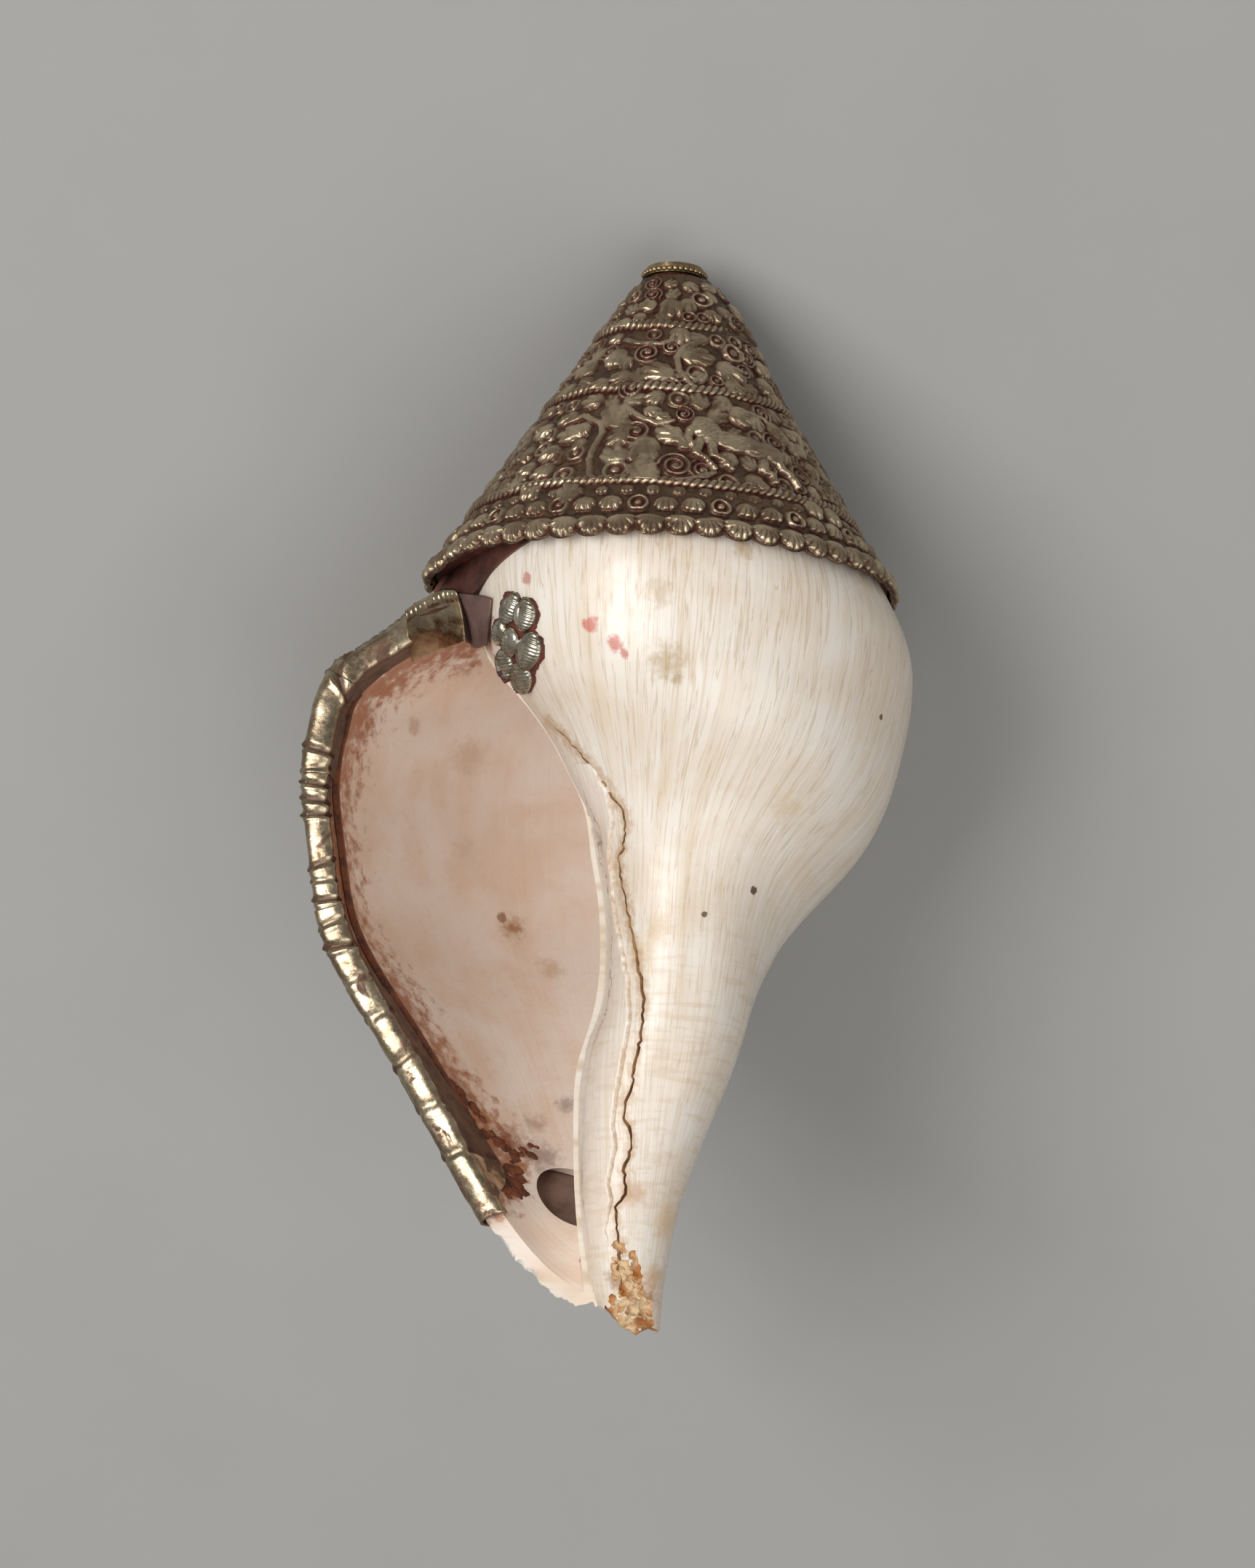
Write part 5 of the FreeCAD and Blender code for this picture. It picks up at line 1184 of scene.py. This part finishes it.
def break_cutter(line, chip, seed):
    """Takes off all that lies beyond a ragged line of the picture, with a chipped slant along it."""
    rows = []
    out_x, out_y = BREAK_SIDE
    for (x0, y0), (x1, y1) in zip(line[:-1], line[1:]):
        count = max(1, int(math.hypot(x1 - x0, y1 - y0) / 4.0))
        for k in range(count):
            share = k / count
            across, down = x0 + (x1 - x0) * share, y0 + (y1 - y0) * share
            jitter = 9.0 * noise.noise(Vector((across * 0.06, down * 0.06, seed)))
            jitter += 5.0 * noise.noise(Vector((across * 0.19, down * 0.19, seed)))
            across, down = across + out_x * jitter, down + out_y * jitter
            depth = (sunk_point(across, down, 0.0) - view_spot).dot(view_forward) / MM - VIEW_DISTANCE
            back = chip(across) + 2.0 * noise.noise(Vector((across * 0.15, 3.0, seed)))
            section = []
            for deep, shift in ((-14.0, 90.0), (-14.0, -back), (-1.0, -back), (2.5, 0.0), (40.0, 0.0),
                    (40.0, 90.0), (-14.0, 90.0)):
                section.append(at_pixel(across + out_x * shift, down + out_y * shift, depth + deep))
            rows.append(section)
    return closed_cutter("break_cutter", rows)


def sunk_point(across, down, sunk):
    """The place sunk millimetres below the seen shell under a pixel, or as deep beside its edge."""
    for shift in (0.0, 8.0, 16.0, 24.0, 40.0, 60.0):
        hit, _ = seen_point(shell_tree, across + shift * 0.5, down - shift)
        if hit is not None:
            depth = (hit - view_spot).dot(view_forward)
            ray = pixel_ray(across, down)
            return view_spot + ray * ((depth + sunk * MM) / ray.dot(view_forward))
    return view_spot + pixel_ray(across, down) * (VIEW_DISTANCE * MM)


def beside_line(points, line, reach):
    """How near each point lies to a line of the picture, from 1 on it to 0 at its reach in mm."""
    across, down = pixels_of(points)
    away, _ = polyline_distance(across, down, line)
    near = np.clip(1.0 - away * MM_PER_PIXEL / reach, 0.0, 1.0)
    depths = (points - np.array(view_spot)) @ np.array(view_forward)
    for index in np.nonzero(near > 0.0)[0]:
        hit, _ = seen_point(shell_tree, across[index], down[index])
        if hit is None or depths[index] - (hit - view_spot).dot(view_forward) > 2.5 * MM:
            near[index] = 0.0
    return near


def corners_of(piece):
    """The places of a piece's corners as an array."""
    points = np.empty(len(piece.data.vertices) * 3, np.float32)
    piece.data.vertices.foreach_get("co", points)
    return points.reshape(-1, 3).astype(float)


def refine(piece, chosen):
    """Divides the edges between chosen corners."""
    only(piece)
    piece.data.polygons.foreach_set("select", np.zeros(len(piece.data.polygons), bool))
    piece.data.edges.foreach_set("select", np.zeros(len(piece.data.edges), bool))
    piece.data.vertices.foreach_set("select", chosen)
    ends = np.empty(len(piece.data.edges) * 2, np.int32)
    piece.data.edges.foreach_get("vertices", ends)
    piece.data.edges.foreach_set("select", chosen[ends.reshape(-1, 2)].all(axis=1))
    bpy.context.tool_settings.mesh_select_mode = (False, True, False)
    bpy.ops.object.mode_set(mode="EDIT")
    bpy.ops.mesh.subdivide(number_cuts=1)
    bpy.ops.object.mode_set(mode="OBJECT")


def largest_part(piece):
    """Keeps the largest connected part of a piece, and drops the splinters that the cuts left."""
    only(piece)
    bpy.ops.mesh.separate(type="LOOSE")
    parts = sorted(bpy.context.selected_objects, key=lambda part: len(part.data.polygons))
    kept = parts.pop()
    kept.name = kept.data.name = piece.name
    for part in parts:
        bpy.data.objects.remove(part, do_unlink=True)
    return kept


def make_shell():
    """The shell itself: a copy of the solid, broken at its lip and tip and cracked by its fissure."""
    source = nodes["conch_shell"]
    piece = source.copy()
    piece.data = source.data.copy()
    piece.name = piece.data.name = "polished_shell"
    bpy.context.scene.collection.objects.link(piece)
    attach(piece, "root")
    piece.hide_render = False
    weld(piece, 0.02)
    bpy.ops.mesh.customdata_custom_splitnormals_clear()
    piece.data.materials.clear()
    piece.data.materials.append(shell_material)

    chalk = broken_shell("chipped_edge", "#f3ece2", "#d9c6ac")
    stump = broken_shell("broken_tip", "#dcbf97", "#b5783f")
    crevice = broken_shell("dirty_crevice", "#b8946a", "#8a6642")
    cut_with(piece, break_cutter(LIP_BREAK, lambda x: 4.0 + 15.0 * math.exp(-((x - 718.0) / 26.0) ** 2),
        1.0), chalk)
    cut_with(piece, break_cutter(TIP_BREAK, lambda x: 5.0, 2.0), stump)
    for across, down, size, seed, sunk in TIP_BITES:
        cut_with(piece, rough_cutter(sunk_point(across, down, sunk), size, seed, 0.6, (1.0, 1.0, 0.9)), stump)
    cut_with(piece, crack_cutter(FISSURE, 0.85, 0.75, 1), crevice)
    piece = largest_part(piece)

    for _ in range(2):
        points = corners_of(piece)
        close = np.maximum(beside_line(points, FISSURE, DUST_REACH), beside_line(points, INNER_EDGE, 9.0))
        refine(piece, close > 0.0)
    points = corners_of(piece)
    store(piece, "crack", beside_line(points, FISSURE, DUST_REACH))
    store(piece, "rust", beside_line(points, INNER_EDGE, RUST_REACH))
    normals = np.empty(len(points) * 3, np.float32)
    piece.data.vertices.foreach_get("normal", normals)
    offset = points - np.array(BORE_MIDDLE)
    offset -= (offset @ np.array(UP))[:, None] * np.array(UP)
    offset /= np.linalg.norm(offset, axis=1, keepdims=True)
    facing = (normals.reshape(-1, 3) * offset).sum(axis=1)
    store(piece, "inside", np.clip(0.5 - facing * 2.0, 0.0, 1.0))
    only(piece)
    bpy.ops.object.shade_smooth_by_angle(angle=math.radians(35.0))
    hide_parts("conch_shell")
    return piece


shell_material = chank_shell()
make_shell()


# The flared end of the top strip and the folded tab: the top, middle and bottom of each column.
FLARE = (((558, 841, 2.6), (562, 876, 4.4), (566, 909, 9.6)), ((575, 829, 0.9), (579, 866, 2.2),
    (585, 899, 7.6)), ((594, 818, -1.6), (600, 856, 0.2), (606, 892, 4.8)),
    ((612, 810, -3.6), (618, 850, -1.8), (624, 888, 1.4)), ((624, 810, -5.3), (632, 848, -3.8),
    (636, 884, -1.6)), ((629, 812, -6.0), (638, 848, -5.0), (641, 882, -3.2)))
TAB = (((627, 813, -4.4), (633, 846, -1.6), (638, 882, 0.4)), ((630, 814, -4.8), (642, 848, -0.4),
    (651, 889, 2.0)), ((634, 815, -6.0), (650, 852, -5.2), (657, 891, -3.6)),
    ((650, 817, -7.8), (658, 852, -7.0), (664, 889, -5.0)), ((666, 819, -10.2), (667, 852, -9.6),
    (668, 888, -7.4)), ((678, 823, -12.0), (674, 853, -11.0), (670, 887, -8.6)))
PATCH_ROWS, PATCH_STEPS = 22, 10


def patch_points(columns, beads):
    """A sheet through columns of three places each, with beads along its top edge."""
    table = np.array(columns, float)
    known = np.arange(len(table))
    wanted = np.linspace(0.0, len(table) - 1.0, (len(table) - 1) * PATCH_STEPS + 1)
    points = []
    for row in range(PATCH_ROWS):
        share = row / (PATCH_ROWS - 1)
        blend = np.array([2 * (share - 0.5) * (share - 1), 4 * share * (1 - share),
            2 * share * (share - 0.5)])
        line = []
        for at in wanted:
            across, down, depth = [float(blend @ [np.interp(at, known, table[:, k, axis])
                for k in range(3)]) for axis in range(3)]
            depth += 0.35 * noise.noise(Vector((across * 0.06, down * 0.06, 2.0)))
            if row in (1, 2, 3):
                depth -= beads * (0.45 + 0.3 * math.cos(across * 1.0) * (row == 2))
            line.append(at_pixel(across, down, depth))
        points.append(line)
    return np.array(points)


def make_flare_and_tab():
    """The strip's flared end and the creased tab that closes the corner between lip and whorl."""
    flare = sheet_piece("flared_strip_end", patch_points(FLARE, 1.0))
    count = len(flare.data.vertices)
    store(flare, "crimp", np.zeros(count))
    # Its fold share grows down the flare, so that it is browner towards its lower edge.
    store(flare, "fold", np.tile(np.linspace(0.3, 0.66, PATCH_ROWS)[:, None], (1, count // PATCH_ROWS)))
    store(flare, "stain", np.full(count, -0.6))
    shape_with(flare, "SOLIDIFY", thickness=SHEET * MM, offset=-1.0)
    shape_with(flare, "SUBSURF", levels=1, render_levels=1)
    dress(flare, strip_brass, "strip_metal")
    tab = sheet_piece("creased_tab", patch_points(TAB, 0.0))
    shape_with(tab, "SOLIDIFY", thickness=SHEET * MM, offset=-1.0)
    dress(tab, patinated_copper("creased_copper", "#7a5c56", "#5c463f", "#a08578"), "brown_sheet",
        "apron_tab")


make_flare_and_tab()

# Petals of the rosette in the picture: middle, half length, half width, lean and hatched side.
PETALS = ((704.5, 837.0, 20.5, 10.5, 107.0, -1), (725.0, 845.5, 21.0, 12.5, 93.0, -1),
    (691.5, 867.5, 16.5, 8.0, 93.0, 1), (706.0, 881.5, 18.5, 10.5, 86.0, 1), (730.0, 894.0, 24.0, 14.5,
    98.0, -1), (698.0, 912.5, 19.5, 9.5, 72.0, -1), (720.0, 930.5, 20.0, 12.0, 75.0, -1))
ROSETTE_BOX = (672.0, 800.0, 760.0, 968.0)
PETAL_GROWTH = 1.16
EDGE_STEP = 0.5
SUNK_EDGE = -0.9


def rosette_sheet(name, step, height_at):
    """A sheet over the rosette's place on the whorl, raised where height_at says and cut off elsewhere."""
    left, top, right, low = ROSETTE_BOX
    points, levels = [], []
    for down in np.arange(top, low, step):
        line, level = [], []
        last, facing = None, None
        for across in np.arange(left, right, step)[::-1]:
            hit, normal = seen_point(shell_tree, across, down)
            if hit is None or normal.dot(view_forward) > -0.35 or (last is not None
                    and (hit - view_spot).dot(view_forward) - last > EDGE_STEP * MM):
                ray = pixel_ray(across, down)
                last = last + 0.1 * MM if last is not None else VIEW_DISTANCE * MM
                hit, normal = view_spot + ray * (last / ray.dot(view_forward)), facing or -view_forward
            last, facing = (hit - view_spot).dot(view_forward), normal
            tall = height_at(across, down)
            line.append(hit + normal * ((tall if tall > 0.0 else SUNK_EDGE) * MM))
            level.append(max(tall, 0.0))
        points.append(line)
        levels.append(level)
    piece = sheet_piece(name, np.array(points))
    kept = np.pad(np.array(levels) > 0.0, 1)
    kept = kept[1:-1, 1:-1] | kept[:-2, 1:-1] | kept[2:, 1:-1] | kept[1:-1, :-2] | kept[1:-1, 2:]
    only(piece)
    for kind in (piece.data.polygons, piece.data.edges):
        kind.foreach_set("select", np.zeros(len(kind), bool))
    piece.data.vertices.foreach_set("select", ~kept.ravel())
    bpy.context.tool_settings.mesh_select_mode = (True, False, False)
    bpy.ops.object.mode_set(mode="EDIT")
    bpy.ops.mesh.delete(type="VERT")
    bpy.ops.object.mode_set(mode="OBJECT")
    return piece


def petal_height(across, down):
    """The height of the rosette's petals, hatched on one side of each."""
    best = 0.0
    for middle_x, middle_y, long, wide, lean, side in PETALS:
        along, beside = turned_to(across - middle_x, down - middle_y, lean)
        along, beside = along / PETAL_GROWTH, beside / PETAL_GROWTH
        far = (along / long) ** 2 + (beside / (wide * (1.0 - 0.25 * (along / long) ** 2))) ** 2
        if far < 1.0:
            tall = 1.6 * (1.0 - far) ** 0.45 + 0.2
            lean_in = side * beside / wide
            if lean_in > -0.1:
                tall -= 0.16 * min(1.0, (lean_in + 0.1) * 3.0) * (0.5 + 0.5
                    * math.cos(along * 1.55 + beside * 0.7))
            tall -= 0.35 * math.exp(-((beside / wide + 0.15 * side) / 0.16) ** 2) * (abs(along) < long * 0.45)
            best = max(best, tall)
    return best


def bed_height(across, down):
    """The height of the lac that the petals are pressed into."""
    near = min(((across - x) / (wide + 5.0)) ** 2 + ((down - y) / (long + 4.0)) ** 2 for x, y, long, wide,
        lean, side in PETALS)
    ragged = 0.25 * noise.noise(Vector((across * 0.12, down * 0.12, 5.0)))
    return 0.45 + 0.1 * ragged if near + ragged < 1.0 else 0.0


def make_rosette():
    """Seven hatched petals, pressed into a bed of red lac beside the aperture."""
    piece = rosette_sheet("rosette_petals", 0.7, petal_height)
    dress(piece, plain_brass("silvered_brass", "#c2bcab", "#958e7c", "#4a2a22"), "rosette_metal",
        "rosette_plate")
    piece = rosette_sheet("rosette_lac", 1.5, bed_height)
    dress(piece, lac, "lac", "rosette_bedding")


def make_crumbs():
    """Lumps of lac left along the inside of the foot strip and over its cut end."""
    chance = random.Random(11)
    spine = ((596, 1455), (612, 1482), (628, 1503), (645, 1525), (658, 1545), (672, 1562), (690, 1572),
        (712, 1580), (730, 1583), (700, 1590), (706, 1606), (712, 1624), (716, 1640), (700, 1638))
    crumbs = []
    for across, down in spine:
        for _ in range(4):
            hit, normal = seen_point(shell_tree, across + chance.uniform(-9, 9), down + chance.uniform(-9, 9))
            if hit is None:
                continue
            bpy.ops.object.select_all(action="DESELECT")
            bpy.ops.mesh.primitive_ico_sphere_add(subdivisions=2, radius=1.0)
            crumb = bpy.context.object
            size = chance.uniform(0.4, 1.1) * MM
            turn = normal.to_track_quat("Z", "Y")
            seed = chance.uniform(0, 50)
            for vertex in crumb.data.vertices:
                co = vertex.co * (1.0 + 0.45 * noise.noise(vertex.co * 1.4 + Vector((seed, 0, 0))))
                vertex.co = hit + turn @ Vector((co.x * size * 1.3, co.y * size, co.z * size * 0.45))
            bpy.ops.object.shade_smooth()
            crumbs.append(crumb)
    bpy.ops.object.select_all(action="DESELECT")
    for crumb in crumbs:
        crumb.select_set(True)
    bpy.context.view_layer.objects.active = crumbs[0]
    bpy.ops.object.join()
    piece = crumbs[0]
    piece.name = piece.data.name = "lac_crumbs"
    dress(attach(piece, "root"), rusty_lac, "lac")


# The columella's edge beside the aperture, down which the glaze laps.
COLUMELLA_EDGE = ((780, 1040), (800, 1110), (815, 1180), (823, 1200), (829, 1305), (825, 1389),
    (806, 1436), (796, 1495), (791, 1579), (791, 1642), (800, 1697), (806, 1730))
CALLUS_TOP, CALLUS_END, CALLUS_COLUMNS = 1050.0, 1716.0, 14
# The ragged edge where the glaze ends, short of the fissure.
GLAZE_EDGE = ((812, 1050), (822, 1064), (836, 1090), (845, 1113), (844, 1150), (842, 1178), (846, 1234),
    (854, 1284), (867, 1345), (870, 1400), (862, 1450), (853, 1500), (847, 1540), (851, 1580), (840, 1620),
    (844, 1650), (835, 1690), (840, 1720))


def make_callus():
    """The glaze that laps over the columella and ends in a ragged edge along the fissure."""
    downs = np.arange(CALLUS_TOP, CALLUS_END, 3.0)
    starts = np.interp(downs, [y for _, y in COLUMELLA_EDGE], [x for x, _ in COLUMELLA_EDGE])
    ends = np.interp(downs, [y for _, y in GLAZE_EDGE], [x for x, _ in GLAZE_EDGE])
    points, edges = [], []
    for down, start, end in zip(downs, starts, ends):
        end += 2.2 * noise.noise(Vector((down * 0.05, 0, 7))) + 1.4 * noise.noise(Vector((down * 0.16, 0, 3)))
        fade = min(1.0, (down - CALLUS_TOP) / 90.0, (CALLUS_END - down) / 60.0)
        line, edge, reached = [], [], start
        for column in range(CALLUS_COLUMNS):
            share = column / (CALLUS_COLUMNS - 1)
            across = start + 5.0 + (end - start - 5.0) * share
            across = max(across, reached)
            hit, normal = seen_point(shell_tree, across, down)
            while normal is None or normal.dot(view_forward) > -0.25:
                across += 1.5
                hit, normal = seen_point(shell_tree, across, down)
            reached = across
            proud = 0.05 + 0.75 * share ** 1.5 * fade
            if column == CALLUS_COLUMNS - 1:
                proud = -0.4
            if column == 0:
                proud = -0.2
            line.append(hit + normal * proud * MM)
            edge.append(max(0.0, share - 0.75) * 4.0)
        points.append(line[::-1])
        edges.append(edge[::-1])
    piece = sheet_piece("columella_glaze", np.array(points))
    count = len(piece.data.vertices)
    store(piece, "crack", edges)
    store(piece, "rust", np.zeros(count))
    store(piece, "inside", np.full(count, 0.25))
    dress(piece, shell_material, "shell")


make_callus()
lac = stick_lac("stick_lac", "#6e2f1e", "#3f1c14", "#9a6a4c")
rusty_lac = stick_lac("rusty_lac", "#87492a", "#532a19", "#b0764a")
make_rosette()
make_crumbs()


def dress_nodes():
    """Gives the carried-over solids their real finishes, and the canal patch a copper painted paler as
    painted light.
    """
    copper = patinated_copper("patinated_copper", "#6b4238", "#4a2c26", "#8b6552")
    # The canal patch gets the same copper painted much paler, as painted light where the lamps don't reach
    # into the canal.
    canal_copper_painted_lit = patinated_copper("canal_copper_painted_lit", "#93776a", "#745a4f", "#a98c7e")
    beaded = plain_brass("beaded_brass", "#c0a97c", "#90795a", "#3f2a1e")
    finishes = {"apron_sheet": copper, "canal_patch": canal_copper_painted_lit, "mouth_rim": beaded,
        "mouth_funnel": beaded, "spire_bedding": lac, "lip_cement": rusty_lac, "patch_cement": lac}
    for name, material in finishes.items():
        mesh = nodes[name].data
        mesh.materials.clear()
        mesh.materials.append(material)


dress_nodes()


def lamp(name, spot, target, size, power):
    """A square soft box aimed at a point."""
    data = bpy.data.lights.new(name, "AREA")
    data.shape = "SQUARE"
    data.size = size
    data.energy = power
    soft_box = bpy.data.objects.new(name, data)
    bpy.context.scene.collection.objects.link(soft_box)
    soft_box.location = spot
    soft_box.rotation_euler = (target - spot).to_track_quat("-Z", "Y").to_euler()


# Each lamp's place in metres to the right, up the picture and above the middle, its size and power.
LAMPS = (("key", -0.6, 0.45, 1.1, 0.7, 10.5), ("fill", 0.5, -0.3, 1.4, 1.2, 9.0))
FLOOR_SIZE, ROOM_LIGHT = 6.0, 0.4


def set_stage():
    """A plain pale floor, a large soft box on the left, a weaker one opposite, and a dim room."""
    bpy.ops.object.select_all(action="DESELECT")
    bpy.ops.mesh.primitive_plane_add(size=FLOOR_SIZE, location=(0, 0, 0))
    floor = bpy.context.object
    floor.name = "floor"
    material, tree, shader, here = begin("paper")
    fibre = add(tree, "TexNoise", {"Vector": here, "Scale": per(30.0), "Detail": 3.0})
    feed(tree, shader, {"Base Color": add(tree, "Mix", {0: fibre, 6: colour("#a09e9b"),
        7: colour("#a5a3a0")}, 2, **COLOURS), "Roughness": 0.9})
    floor.data.materials.append(material)

    middle = Vector((0, 0, 0.05))
    for name, across, up, high, size, power in LAMPS:
        lamp(name, middle + view_right * across + view_up * up + Vector((0, 0, high)), middle, size, power)

    world = bpy.data.worlds.new("world")
    bpy.context.scene.world = world
    world.use_nodes = True
    feed(world.node_tree, world.node_tree.nodes["Background"], {"Color": colour("#d8d8d8"),
        "Strength": ROOM_LIGHT})
    bpy.context.scene.view_settings.view_transform = "Standard"


set_stage()
